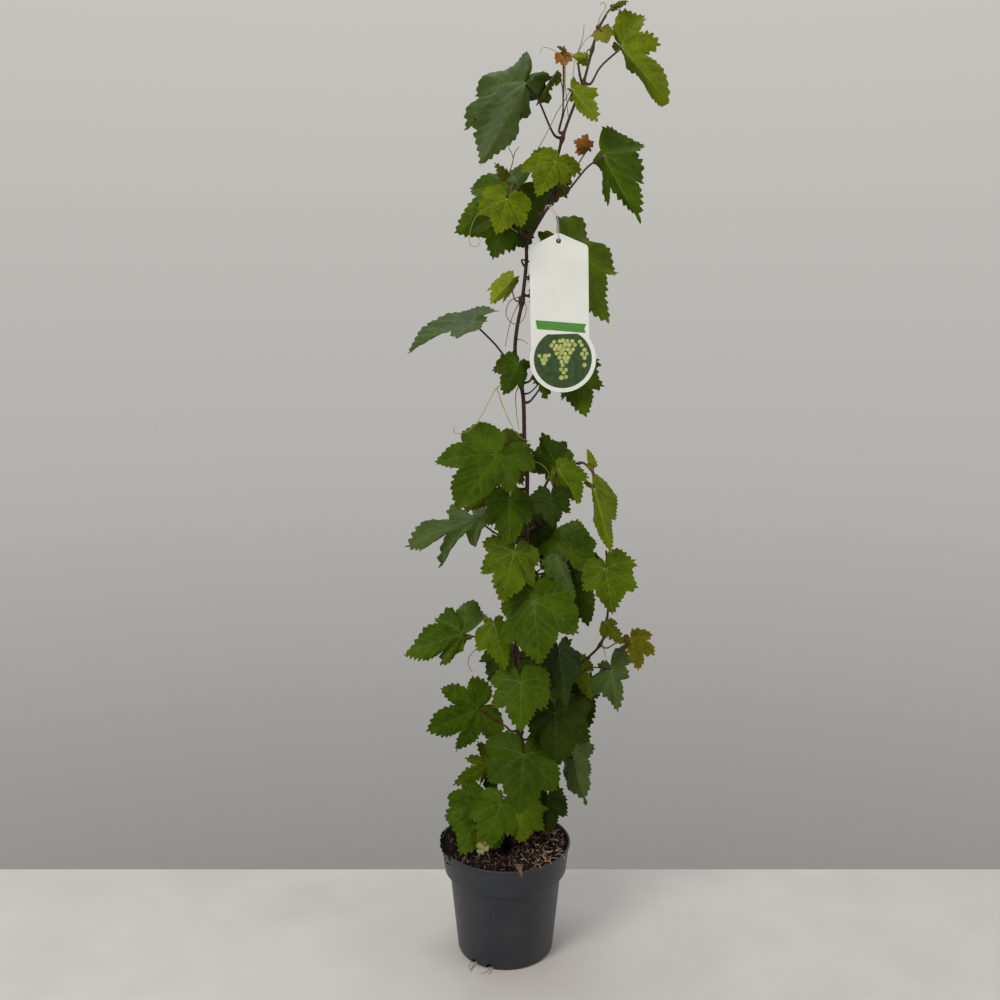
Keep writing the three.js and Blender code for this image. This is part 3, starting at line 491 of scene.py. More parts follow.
# The crumbs: peat that was spilt over the left of the rim when the pot was filled, and clings there
# and on the wall below.
CRUMB_COUNT = 300
CRUMB_MIDDLE = 188
CRUMB_SPREAD = 13
CRUMB_FALL = 26
COLLAR_SLOPE = (POT_RIM - POT_ROLL - POT_COLLAR) / (POT_HEIGHT - 4 - POT_COLLAR_HEIGHT)
crumb_shape = bmesh.new()
for crumb in range(CRUMB_COUNT):
    turn = math.radians(CRUMB_MIDDLE + CRUMB_SPREAD * chips_random.normal())
    fallen = chips_random.random() ** 2 * (0.25 if crumb % 3 else 1.0)
    height = POT_HEIGHT + 0.6 - CRUMB_FALL * fallen
    radius = POT_RIM + 0.3 - (1.8 * chips_random.random() if fallen < 0.05 else 0.2)
    if height < POT_HEIGHT - 3:
        radius = POT_RIM - POT_ROLL + 0.3 - (POT_HEIGHT - 4 - height) * COLLAR_SLOPE
    size = (0.35 + 1.9 * chips_random.random() ** 3 * (1 - fallen)) * MM
    place = Vector((radius * math.cos(turn), radius * math.sin(turn), height)) * MM
    lump = Matrix.Diagonal((*(size * (0.7 + 0.6 * chips_random.random(3))), 1))
    spin = Matrix.Rotation(6 * chips_random.random(), 4, Vector((0.3, 0.5, 0.8)))
    bmesh.ops.create_icosphere(
        crumb_shape, subdivisions=1, radius=1, matrix=Matrix.Translation(place) @ spin @ lump)
for vert in crumb_shape.verts:
    vert.co += 0.00022 * noise.noise_vector(vert.co * 900)
crumbs = bpy.data.meshes.new("rim_crumbs")
crumb_shape.to_mesh(crumbs)
crumb_shape.free()
add_piece("rim_crumbs", crumbs, [peat], "potting_mix")


# The main stem and its two side shoots: young canes with thin brown, finely furrowed bark that turns
# green towards the tip, swollen at each knot. They grow on from one another, and the stem's foot
# stands in the mix. Three short cut stubs are left on it where old stalks came off.
STEM_FOOT = 3.1
STEM_TIP = 1.3
LOWER_SHOOT_FOOT = 1.6
MIDDLE_SHOOT_FOOT = 1.7
SHOOT_TIP = 1.2
STUB_FOOT = 1.6
STUB_END = 1.1
KNOT_SWELLING = 0.75
LIMB_TAPER = 1.6
KNOT_REACH = 5
KNOT_RIDGE = 0.12
FURROW_DEPTH = 0.09
LIMB_SIDES = 20
LIMB_STEP = 1.3


def unit(vectors):
    return vectors / np.linalg.norm(vectors, axis=-1, keepdims=True)


def square_to(vector, direction):
    """The way in which a vector points once its part along a direction is taken out."""
    return unit(vector - direction * (vector @ direction))


def smooth_route(places, step):
    """Evenly spaced points on the smooth curve through the places, as the solids' routes run."""
    places = np.array(places, float)
    ends = [2 * places[0] - places[1], *places, 2 * places[-1] - places[-2]]
    points = [places[:1]]
    shares = np.linspace(0, 1, 41)[1:, None]
    for first, start, end, last in zip(ends, ends[1:], ends[2:], ends[3:]):
        pairs = ((first, start), (start, end), (end, last))
        gaps = [max(1e-4, np.linalg.norm(b - a) ** 0.5) for a, b in pairs]
        leaving = (start - first) / gaps[0] - (end - first) / (gaps[0] + gaps[1]) + (end - start) / gaps[1]
        arriving = (end - start) / gaps[1] - (last - start) / (gaps[1] + gaps[2]) + (last - end) / gaps[2]
        leaving, arriving = leaving * gaps[1], arriving * gaps[1]
        square = -3 * start + 3 * end - 2 * leaving - arriving
        cube = 2 * start - 2 * end + leaving + arriving
        points.append(start + shares * leaving + shares**2 * square + shares**3 * cube)
    points = np.concatenate(points)
    lengths = np.concatenate([[0], np.cumsum(np.linalg.norm(np.diff(points, axis=0), axis=1))])
    spots = np.linspace(0, lengths[-1], max(3, round(lengths[-1] / step) + 1))
    return np.stack([np.interp(spots, lengths, points[:, axis]) for axis in range(3)], 1)


class Limb:
    """A limb's route and taper, in millimetres, and the heights of the knots where stalks leave it."""

    def __init__(self, route, foot, tip, knots):
        self.points = smooth_route(route, LIMB_STEP)
        self.length = LIMB_STEP * (len(self.points) - 1)
        self.foot, self.tip = foot, tip
        self.knots = [self.share_at(height) for height in knots]

    def share_at(self, height):
        return int(np.argmin(abs(self.points[:, 2] - height))) / (len(self.points) - 1)

    def point_at(self, share):
        return self.points[round(share * (len(self.points) - 1))]

    def tangent_at(self, share):
        index = round(share * (len(self.points) - 1))
        return unit(self.points[min(index + 1, len(self.points) - 1)] - self.points[max(index - 1, 0)])

    def radius_at(self, share):
        share = np.asarray(share, float)
        swelling = np.zeros_like(share)
        ridge = np.zeros_like(share)
        for knot in self.knots:
            away = (share - knot) * self.length / KNOT_REACH
            swelling = np.maximum(swelling, np.exp(-(away**2)))
            ridge = np.maximum(ridge, np.exp(-((away * 4) ** 2)))
        plain = self.foot + (self.tip - self.foot) * share**LIMB_TAPER
        return plain * (1 + KNOT_SWELLING * swelling + KNOT_RIDGE * ridge)


stem = Limb(
    [
        [10, 0, 143], [13, 1, 170], [16, 2, 203], [20, 2, 250], [20, 0, 275], [18, -1, 297], [16, -1, 340],
        [13, 0, 404], [17, 1, 450], [25, 1, 496], [26, 0, 548], [26, 1, 598], [26, 2, 636], [23, 2, 664],
        [21, 1, 723], [18, 0, 741], [11, 0, 778], [13, 0, 806], [19, 1, 838], [24, 1, 884], [25, 0, 908],
        [33, 0, 921], [45, 0, 941], [57, 1, 959], [58, 1, 992], [65, 0, 1024], [78, 1, 1060],
        [88, 1, 1084], [98, 0, 1121], [104, 0, 1142], [113, 0, 1158],
    ],
    STEM_FOOT, STEM_TIP,
    [196, 266, 297, 404, 496, 576, 655, 741, 838, 914, 959, 1024, 1084, 1121, 1142],
)
lower_shoot = Limb(
    [
        [25, 5, 304], [38, 7, 326], [54, 8, 347], [88, 6, 380], [119, 0, 413], [126, -4, 444],
        [128, -5, 480], [124, -5, 536],
    ],
    LOWER_SHOOT_FOOT, SHOOT_TIP, [380, 413, 444],
)
middle_shoot = Limb(
    [[29.7, 3.2, 584], [44, 9, 606], [60, 12, 632], [78, 10, 641], [90, 7, 643]],
    MIDDLE_SHOOT_FOOT, SHOOT_TIP, [632],
)


def lay_out(mesh, spots):
    """Gives a mesh its own map, with a spot for each corner of its faces."""
    mesh.uv_layers.new(name="OFBake")
    mesh.uv_layers["OFBake"].uv.foreach_set("vector", spots.astype(np.float32).ravel())


def swept(name, routes, radii, sides, tones=None):
    """One mesh of round capped tubes, each along its own route with a radius at each point, all in
    millimetres. A tone is the tube's material slot, and the tubes' own map lies side by side."""
    curve = bpy.data.curves.new(name, "CURVE")
    curve.dimensions = "3D"
    curve.bevel_depth = 1.0
    curve.bevel_resolution = (sides - 4) // 2
    for route, radius in zip(routes, radii):
        spline = curve.splines.new("POLY")
        spline.points.add(len(route) - 1)
        spline.points.foreach_set("co", np.column_stack([route * MM, np.ones(len(route))]).ravel())
        spline.points.foreach_set("radius", np.asarray(radius, float) * MM)
    holder = bpy.data.objects.new(name, curve)
    scene.collection.objects.link(holder)
    mesh = bpy.data.meshes.new_from_object(holder.evaluated_get(bpy.context.evaluated_depsgraph_get()))
    bpy.data.objects.remove(holder)
    capped = bmesh.new()
    capped.from_mesh(mesh)
    bmesh.ops.holes_fill(capped, edges=[edge for edge in capped.edges if edge.is_boundary], sides=0)
    bmesh.ops.recalc_face_normals(capped, faces=capped.faces)
    capped.to_mesh(mesh)
    capped.free()
    mesh.materials.clear()
    while mesh.uv_layers:
        mesh.uv_layers.remove(mesh.uv_layers[0])
    owner = np.repeat(np.arange(len(routes)), [len(route) * sides for route in routes])
    corner_verts = np.zeros(len(mesh.loops), np.int32)
    mesh.loops.foreach_get("vertex_index", corner_verts)
    starts = np.concatenate([[0], np.cumsum([len(route) * sides for route in routes])])
    within = corner_verts - starts[owner[corner_verts]]
    lengths = np.array([len(route) for route in routes])[owner[corner_verts]]
    columns = math.ceil(math.sqrt(len(routes) / 4))
    rows = math.ceil(len(routes) / columns)
    lane, seat = owner[corner_verts] // columns, owner[corner_verts] % columns
    run = (within // sides) / (lengths - 1)
    side = (within % sides) / sides
    lay_out(mesh, np.stack([(seat + 0.05 + 0.9 * run) / columns, (lane + 0.1 + 0.8 * side) / rows], 1))
    if tones is not None:
        first_corner = np.zeros(len(mesh.polygons), np.int32)
        mesh.polygons.foreach_get("loop_start", first_corner)
        chosen = np.asarray(tones, np.int32)[owner[corner_verts[first_corner]]]
        mesh.polygons.foreach_set("material_index", chosen)
    mesh.shade_smooth()
    return mesh


def furrowed(mesh, sides, depth, seed):
    """Cuts fine furrows along a tube's bark, which wander round it."""
    count = len(mesh.vertices)
    points = np.zeros(count * 3, np.float32)
    normals = np.zeros(count * 3, np.float32)
    mesh.vertices.foreach_get("co", points)
    mesh.vertex_normals.foreach_get("vector", normals)
    points, normals = points.reshape(-1, 3), normals.reshape(-1, 3)
    ring = np.arange(count) // sides
    turn = 2 * math.pi * (np.arange(count) % sides) / sides
    drift = 0.9 * np.sin(ring * 0.031 + seed) + 0.5 * np.sin(ring * 0.083 + 2 * seed)
    relief = np.sin(5 * turn + drift) + 0.7 * np.sin(8 * turn - 1.7 * drift + seed)
    relief += 0.5 * np.sin(ring * 0.61 + 3 * np.sin(2 * turn)) + 0.4 * np.sin(ring * 1.7 + 4 * turn)
    points += normals * (relief * depth * MM)[:, None].astype(np.float32)
    mesh.vertices.foreach_set("co", points.ravel())
    mesh.update()


bark, bark_shader = new_material("young_bark", 0.65, 0.22)
bark_place = object_place(bark, (1, 1, 0.12))
bark_fibre = noise_at(bark, bark_place, 1400.0, 4.0, 0.6)
bark_patch = noise_at(bark, object_place(bark), 55.0, 3.0)
brown_bark = shades(bark, bark_fibre, [
    (0.3, linear(26, 17, 14)), (0.48, linear(49, 32, 23)), (0.7, linear(96, 66, 44))])
pale_bark = shades(bark, bark_patch, [(0.4, linear(39, 26, 20)), (0.65, linear(86, 62, 41))])
mixed_bark = blend(bark, 0.35, brown_bark, pale_bark)
young_bark = blend(bark, share_of_height(bark, "Object", 1.03, 1.12, 0.85), mixed_bark, linear(66, 62, 22))
join_to(bark, young_bark, bark_shader, "Base Color")
bumped(bark, bark_shader, bark_fibre, 0.6, 0.0005)

stub_routes = [
    smooth_route(route, 1.0) for route in (
        [[88, 1, 1083], [85, 0, 1091], [82, -2, 1106]],
        [[18, 0, 741], [20, 2, 748], [22, 3, 756]],
        [[18, 0, 741], [28, -2, 744], [33, -3, 752]],
    )
]
for limb, piece_name, node in (
    (stem, "stem_bark", "main_stem"), (lower_shoot, "lower_shoot_bark", "shoot_lower_right"),
    (middle_shoot, "middle_shoot_bark", "shoot_middle_right"),
):
    limb_radii = limb.radius_at(np.linspace(0, 1, len(limb.points)))
    stubs = stub_routes if limb is stem else []
    stub_radii = [np.linspace(STUB_FOOT, STUB_END, len(route)) for route in stubs]
    limb_mesh = swept(piece_name, [limb.points, *stubs], [limb_radii, *stub_radii], LIMB_SIDES)
    furrowed(limb_mesh, LIMB_SIDES, FURROW_DEPTH, limb.foot)
    add_piece(piece_name, limb_mesh, [bark], "bark", node)


# The roots: hair-thin dark roots that have grown out through the two drain holes at the front, and lie
# limp on the floor beside the pot.
ROOT_RADIUS = 0.24


def threads(name, lines, step, foot, end, sides, tones=None):
    """One mesh of thin tubes along smooth lines, each tapering from its foot to its end."""
    routes = [smooth_route(line, step) for line in lines]
    return swept(name, routes, [np.linspace(foot, end, len(route)) for route in routes], sides, tones)


root_lines = [
    [[-37, -45, 5], [-40, -50, 4], [-42, -55, 1.2], [-43, -60, 0.4], [-44, -64, 0.4]],
    [[-35, -46, 4], [-38, -52, 2.5], [-43, -56, 0.6], [-47, -60, 0.4]],
    [[-39, -45, 6], [-43, -49, 5.5], [-46, -52, 2], [-47, -54, 0.5]],
    [[-19, -54, 5], [-20, -60, 4], [-23, -63, 1], [-26, -66, 0.4], [-31, -67, 0.4]],
    [[-17, -55, 4], [-18, -61, 2.2], [-19, -65, 0.5], [-22, -69, 0.4]],
]
root_mesh = threads("drain_roots", root_lines, 0.8, ROOT_RADIUS, ROOT_RADIUS, 6)
root_skin = grained("root_hair", 0.8, 0.2, (300.0, 3.0), (30, 22, 18), (62, 46, 38))
add_piece("drain_roots", root_mesh, [root_skin], "bark")


# The fibres: a few pale curved coconut fibres that stick out of the mix and lie over the rim on the
# right of the front.
FIBRE_FOOT = 0.5
FIBRE_END = 0.3
fibre_lines = [
    [[48, -57, 148], [52, -61, 151.5], [55.5, -63.8, 152], [57.5, -65.8, 149.6]],
    [[62, -40, 148], [68, -45, 152], [73, -47.6, 151.4], [75.4, -49.4, 146.5]],
    [[57, -49, 148.5], [61, -52.5, 151], [66, -54, 151.2]],
    [[36, -64, 148], [40, -68, 151], [42, -73, 151.4], [43, -75, 149.5]],
]
fibre_mesh = threads("rim_fibres", fibre_lines, 0.8, FIBRE_FOOT, FIBRE_END, 6)
add_piece("rim_fibres", fibre_mesh, [chip_materials[-1]], "potting_mix")


# The leaves: vine leaves with five veined lobes and a toothed edge, each grown on its own stalk. The
# table holds each twig's limb, height and fork, and of each of its leaves the tint, where the blade
# starts and ends, how it turns, folds and is cut, and where its stalk passes, in millimetres and degrees.
LEAF_OUTLINE = [
    (0, 1, False), (17, 0.78, False), (32, 0.63, True), (51, 0.8, False), (69, 0.67, False),
    (84, 0.58, True), (104, 0.67, False), (126, 0.6, False), (146, 0.5, False), (163, 0.36, False),
    (180, 0.05, True),
]
LEAF_UNEVENNESS = 0.05
TOOTH_PITCH = 6.8
CLOSEST_PITCH = 0.088
WIDEST_PITCH = 0.2
TOOTH_DEPTH = 0.42
TOOTH_LEAN = 0.13
TOOTH_SHAPE = ((-0.24, 0.28), (0.0, 1.0), (0.24, 0.28), (0.5, -0.8))
LOBE_REACH = 1.02
SINUS_REACH = 0.98
LEAF_HALF_THICKNESS = 0.17
LONG_LEAF = 45
LONG_LEAF_SPACING = 0.04
SHORT_LEAF_SPACING = 0.06
ROW_STEP = 0.866
LOBE_ANGLES = (0, 51, -51, 104, -104)
SINUS_ANGLES = (32, 84, 180)
QUILT_HEIGHT = 0.02
QUILT_REACH = 0.035
TROUGH_HEIGHT = 0.035
TROUGH_REACH = 0.13
WAVE_HEIGHT = 0.032
MIDRIB_SOFTNESS = 0.02
MIDRIB_FORKS = (0.18, 0.36, 0.53, 0.69, 0.83)
LOBE_FORKS = (0.25, 0.46, 0.65, 0.82)
VEIN_STEP = 0.045
VEIN_BEND = 2.2
MAIN_VEIN_SIZE = (0.46, 0.26)
SIDE_VEIN_SIZE = (0.24, 0.12)
PALE_BY_VEIN = 0.016
RIPE_BY_EDGE = 0.05
BURN_REACH = 0.15


def leaf(tint, at, tip, turn=0, fold=15, sides=1, heels=1, sweep=0.1, arch=25, curl=25, cut=0.5,
         stalk=1, via=(), burn=None):
    """One leaf of the table. A single fold, size or sweep holds for both halves of its blade."""
    halves = {name: value if isinstance(value, tuple) else (value, value)
              for name, value in dict(fold=fold, sides=sides, heels=heels, sweep=sweep).items()}
    return dict(tint=tint, at=at, tip=tip, turn=turn, arch=arch, curl=curl, cut=cut, stalk=stalk,
                via=via, burn=burn, **halves)


twigs = [
    (stem, 1158, None,
     leaf("olive", (120, -3, 1166), (137, -6, 1171), sides=(0.45, 0.4), heels=(0.4, 0.35), fold=(35, 40),
          stalk=0.8)),
    (stem, 1142, None,
     leaf("gold", (107, -7, 1139), (114, -16, 1124), sides=(0.85, 1.1), heels=(0.9, 1.1), fold=5,
          stalk=0.6)),
    (stem, 1121, None,
     leaf("lime", (92, 6, 1113), (74, 3, 1115), sides=0.85, fold=(40, 50), stalk=0.6)),
    (stem, 1086, None,
     leaf("bright", (130, -8, 1123), (182, -24, 1061), turn=8, sides=(0.9, 0.74), heels=(0.4, 0.85),
          fold=(82, 20), sweep=(0.1, -0.2), cut=0.85, via=[(107, -5, 1101)])),
    (stem, 1030, (66, 8, 1052),
     leaf("bronze", (65, 6, 1117), (68, 0, 1103), fold=10, stalk=0.7, via=[(66, 8, 1084)]),
     leaf("olive", (57, 4, 1097), (34, -8, 1059), turn=20, sides=(0.5, 0.4), heels=(0.4, 0.3),
          fold=(75, 60), stalk=0.6, via=[(64, 9, 1086)]),
     leaf("bright", (75, -16, 1075), (103, -32, 1038), turn=10, sides=(0.35, 0.75), heels=(0.2, 0.5),
          fold=(45, 32), stalk=0.6, via=[(70, -12, 1062)]),
     leaf("gold", (66, 0, 1121), (57, -4, 1124), sides=0.4, fold=40, stalk=0.5, via=[(67, 8, 1090)])),
    (stem, 1024, None,
     leaf("grey", (22, -24, 1081), (-27, -44, 992), turn=-10, sides=(1, 0.54), heels=(1.3, 0.62),
          fold=(54, 44), sweep=(0.3, 0), cut=1, via=[(35, -12, 1067)])),
    (stem, 984, None,
     leaf("bright", (57, -16, 996), (35, -36, 956), sides=(1, 0.75), heels=(0.85, 1), fold=(8, 12),
          sweep=(0.1, -0.1))),
    (stem, 972, None,
     leaf("bronze", (96, -2, 1014), (77, -10, 1021), sides=0.9, heels=0.6, fold=(25, 35), stalk=0.7,
          via=[(77, 8, 986)])),
    (stem, 961, None,
     leaf("green", (111, -20, 1003), (154, -44, 922), turn=10, sides=(0.7, 0.85), heels=(0.4, 1),
          fold=(66, 48), sweep=(0.2, 0), cut=0.7, via=[(95, -12, 992)])),
    (stem, 912, (15, -1, 925),
     leaf("green", (15, 30, 972), (-60, 38, 921), turn=8, heels=(1, 0.75), fold=(42, 20), cut=0.6,
          via=[(17, 16, 946)]),
     leaf("gold", (0, 20, 983), (-13, 14, 998), sides=0.6, heels=0.5, fold=(20, 25), stalk=0.6,
          via=[(11, 14, 958)]),
     leaf("deep", (2, 6, 942), (-15, -10, 889), fold=(5, 15), sweep=(0.2, 0), via=[(10, 3, 934)]),
     leaf("bright", (1, -27, 954), (-11, -46, 915), fold=(5, 10), via=[(9, -14, 940)])),
    (stem, 934, None,
     leaf("deep", (58, 46, 984), (53, 60, 950), turn=180, sides=0.9, via=[(50, 24, 958)])),
    (stem, 878, None,
     leaf("deep", (64, 58, 866), (58, 78, 806), turn=180, sides=0.85, via=[(20, 36, 888), (42, 54, 880)])),
    (stem, 846, None,
     leaf("fresh", (67, 24, 907), (120, 10, 817), sides=(0.75, 1), heels=(0.5, 1), fold=(5, 45),
          via=[(44, 16, 872)])),
    (stem, 838, None,
     leaf("lime", (6, -10, 863), (-18, -26, 836), sides=(1, 0.85), heels=(1, 1.2), fold=(50, 62),
          stalk=0.7)),
    (stem, 770, None,
     leaf("grey", (-38, -6, 815), (-119, -18, 777), turn=79, sides=(0.8, 0.7), heels=(1, 0.35),
          fold=(-10, 4), sweep=(0.1, -0.05), curl=15, via=[(-14, 3, 789)])),
    (stem, 752, None,
     leaf("deep", (14, -14, 765), (-3, -29, 732), sides=(0.92, 0.95), heels=0.8, fold=(5, 36),
          sweep=(0.05, 0), stalk=0.7)),
    (stem, 728, None,
     leaf("deep", (50, 8, 752), (46, -2, 720), sides=0.7, heels=0.7, fold=20, stalk=0.7)),
    (stem, 718, None,
     leaf("green", (78, 22, 757), (98, 6, 700), sides=(0.8, 0.92), heels=(0.8, 1), fold=(42, 20),
          via=[(50, 20, 742)])),
    (stem, 662, None,
     leaf("green", (-10, -32, 659), (-56, -60, 602), sides=(1.15, 0.86), fold=8, sweep=(0.15, -0.25),
          cut=0.75, via=[(2, -18, 663)]),
     leaf("olive", (18, 20, 662), (-10, 14, 657), sides=(0.7, 0.9), fold=20, stalk=0.6)),
    (stem, 612, (6, 8, 614),
     leaf("olive", (-15, 2, 606), (-52, -8, 586), sides=0.6, heels=0.5, fold=(25, 45), stalk=0.7),
     leaf("deep", (-12, 34, 664), (-24, 60, 598), turn=180, stalk=0.9, via=[(-2, 24, 642)])),
    (stem, 552, None,
     leaf("grey", (-34, 12, 572), (-121, 0, 535), turn=80, sides=(0.6, 0.85), heels=(0.9, 0.6),
          fold=(-5, 14), sweep=(0.05, 0.6), cut=0.95, via=[(-4, 10, 550)])),
    (stem, 580, None,
     leaf("green", (5, -17, 602), (4, -33, 545), sides=(0.88, 0.78), heels=(0.85, 0.75), fold=(22, 25))),
    (stem, 530, None,
     leaf("fresh", (10, -26, 539), (-5, -50, 483), sides=0.9, heels=0.9, fold=(15, 20))),
    (middle_shoot, 626, None,
     leaf("deep", (63, 28, 635), (46, 34, 676), sides=(0.9, 0.95), heels=(0.6, 0.8), fold=20, cut=0.2,
          stalk=0.8)),
    (middle_shoot, 631, (62, -8, 636),
     leaf("fresh", (63, -12, 638), (91, -26, 595), turn=-15, sides=(0.7, 0.88), heels=(0.5, 0.6),
          fold=(60, 15), stalk=0.8),
     leaf("shade", (54, -34, 608), (56, -50, 573), sides=0.95, heels=1.1, fold=10, sweep=0, stalk=0.8,
          via=[(58, -20, 622)])),
    (middle_shoot, 643, (106, -6, 634),
     leaf("bright", (106, -18, 618), (126, -30, 545), fold=(78, 58), sides=(0.8, 0.9), heels=(0.4, 0.9),
          sweep=(0.15, 0.3), arch=40),
     leaf("bright", (107, -4, 641), (99, -2, 662), sides=(0.4, 0.5), heels=0.3, stalk=0.6)),
    (lower_shoot, 521, None,
     leaf("fresh", (122, -22, 517), (130, -40, 463), sides=(0.82, 0.98), heels=(0.75, 1), fold=10,
          sweep=(-0.1, 0))),
    (lower_shoot, 500, None,
     leaf("deep", (96, 74, 498), (92, 94, 440), turn=180, sides=0.75, stalk=0.8,
          via=[(122, 24, 504), (110, 56, 507)])),
    (stem, 560, (36, 26, 560),
     leaf("shade", (45, 44, 552), (54, 36, 504), sides=(0.75, 0.7), heels=0.7, stalk=0.8),
     leaf("deep", (26, 62, 574), (22, 84, 508), turn=180, sides=(0.75, 0.6), heels=(0.8, 0.7), stalk=0.9,
          via=[(30, 44, 576)])),
    (stem, 520, None,
     leaf("green", (80, 3, 530), (92, 46, 562), turn=-20, sides=(0.85, 1.25), heels=(1, 0.9), cut=0.2,
          via=[(55, 8, 524)])),
    (stem, 500, (34, -3, 504),
     leaf("grey", (61, -14, 533), (84, -22, 480), sides=(0.65, 0.4), heels=0.3, fold=(20, 60), cut=0.2,
          stalk=0.8, via=[(46, -8, 516)]),
     leaf("deep", (86, 20, 508), (104, 8, 436), sides=0.75, heels=0.8, fold=(42, 40),
          via=[(58, 14, 504)])),
    (stem, 494, None,
     leaf("green", (34, -38, 481), (40, -70, 412), sides=(1, 1.05), fold=(28, 5), sweep=(0.15, 0),
          via=[(31, -16, 489)])),
    (stem, 486, None,
     leaf("deep", (44, 66, 478), (40, 90, 408), turn=180, sides=(0.8, 0.9), heels=(0.6, 0.9),
          via=[(34, 30, 486)])),
    (stem, 420, None,
     leaf("green", (-54, 0, 427), (-129, -16, 404), turn=40, sides=(0.75, 0.58), heels=(1.1, 0.3),
          fold=(10, 30), sweep=(-0.2, 0.5), cut=0.6, via=[(-20, 2, 420)])),
    (stem, 430, None,
     leaf("fresh", (-14, -18, 446), (-2, -34, 396), sides=(0.9, 0.75), heels=(0.45, 0.5), fold=(8, 35),
          via=[(2, -8, 440)])),
    (stem, 402, None,
     leaf("green", (18, -38, 378), (18, -64, 324), sides=(0.9, 0.95), fold=(12, 8), via=[(16, -16, 392)])),
    (stem, 392, None,
     leaf("deep", (12, 34, 384), (2, 60, 318), turn=180, sides=0.8, via=[(12, 16, 390)])),
    (stem, 300, None,
     leaf("green", (-34, -14, 334), (-101, -34, 313), sides=(0.92, 1), heels=(0.85, 1), fold=(8, 5),
          sweep=(0.05, 0.1), cut=0.85, via=[(0, -4, 306)])),
    (stem, 396, None,
     leaf("cool", (66, -16, 412), (75, -32, 347), sides=(0.9, 0.8), heels=(0.8, 0.6), fold=(40, 42),
          cut=0.2, via=[(40, -6, 398)])),
    (lower_shoot, 366, None,
     leaf("bright", (93, 26, 381), (111, 18, 333), sides=0.55, heels=0.45, fold=30, stalk=0.8)),
    (lower_shoot, 446, None,
     leaf("olive", (124, -17, 447), (148, -26, 420), sides=(0.65, 0.45), heels=(0.35, 0.25), fold=20,
          stalk=0.6)),
    (lower_shoot, 413, None,
     leaf("autumn", (157, -8, 422), (164, -22, 388), sides=(0.5, 1.15), heels=(0.5, 1.1), cut=0.8,
          stalk=0.7, via=[(140, -4, 417)])),
    (lower_shoot, 381, None,
     leaf("grey", (133, -6, 384), (140, -26, 335), sides=(0.9, 0.62), heels=(0.6, 1.1), fold=(30, 20),
          sweep=(0.1, -0.2), stalk=0.8, via=[(108, 0, 383)])),
    (stem, 288, None,
     leaf("shade", (62, -20, 330), (64, -42, 264), sides=(0.78, 1), heels=(0.7, 1), fold=10, sweep=0,
          via=[(36, -12, 304)])),
    (stem, 272, (40, 16, 290),
     leaf("shade", (96, 34, 350), (108, 24, 298), sides=(0.7, 0.75), heels=(0.5, 0.6),
          via=[(70, 30, 322)]),
     leaf("deep", (52, 64, 330), (44, 86, 262), turn=180, sides=0.85, stalk=0.9, via=[(48, 46, 314)])),
    (stem, 266, None,
     leaf("grey", (86, -8, 266), (102, -24, 208), sides=(0.95, 0.8), heels=(0.9, 1), fold=(60, 48),
          via=[(50, 0, 266)])),
    (stem, 278, None,
     leaf("deep", (22, -40, 283), (16, -76, 218), sides=(0.92, 0.98), fold=8, sweep=0,
          via=[(24, -14, 284)])),
    (stem, 234, (8, 3, 240),
     leaf("fresh", (-24, 4, 250), (-65, -10, 231), sides=(0.72, 0.7), heels=(0.95, 0.7), fold=(10, 20),
          cut=0.9, stalk=0.8, via=[(-6, 4, 247)]),
     leaf("shade", (-14, 20, 236), (-24, 12, 202), sides=0.7, heels=0.3, stalk=0.7)),
    (stem, 244, None,
     leaf("deep", (10, 38, 258), (2, 62, 196), turn=180, sides=0.85, via=[(18, 20, 252)])),
    (stem, 205, None,
     leaf("green", (-6, -30, 212), (-35, -55, 154), sides=(0.74, 0.7), heels=(0.66, 0.62), fold=(14, 12),
          cut=0.35, via=[(4, -14, 212)], burn=(0.84, 0.01)),
     leaf("green", (-30, -18, 209), (-58, -47, 152), sides=(0.88, 1), heels=(0.75, 0.8), fold=8,
          cut=0.15, stalk=0.9, via=[(-8, -8, 212)])),
    (stem, 186, (22, -8, 192),
     leaf("fresh", (21, -22, 205), (17, -34, 160), sides=0.95, heels=(0.6, 0.9), fold=8, cut=0.3,
          stalk=0.8),
     leaf("bright", (32, -6, 205), (41, -12, 184), sides=0.8, fold=12, stalk=0.7)),
    (stem, 180, None,
     leaf("shade", (55, 4, 204), (56, -10, 164), sides=(0.85, 0.95), stalk=0.8, via=[(34, 5, 192)])),
]


def seeded(seed):
    """The growing rule's own small source of numbers from 0 to 1."""
    state = seed * 7919 + 104729

    def draw():
        nonlocal state
        state = (state * 1664525 + 1013904223) % 4294967296
        return state / 4294967296

    return draw


def marks_of(leaf, draw):
    """The leaf's outline marks all round, each an angle from the tip in degrees and a reach."""
    halves = []
    for side, outline in ((1, LEAF_OUTLINE), (0, LEAF_OUTLINE[1:-1])):
        marks = []
        for angle, reach, hollow in outline:
            size = leaf["heels"][side] if angle > 90 else leaf["sides"][side]
            share = 1 if angle == 0 else (1 + size) / 2 if angle < 30 else size
            cut = 1 + (0.5 - leaf["cut"]) * 0.7 if hollow else 1
            uneven = 1 + LEAF_UNEVENNESS * (2 * draw() - 1)
            marks.append((angle if side else -angle, reach * share * cut * uneven, hollow))
        halves.append(marks)
    return halves[0] + halves[1][::-1]


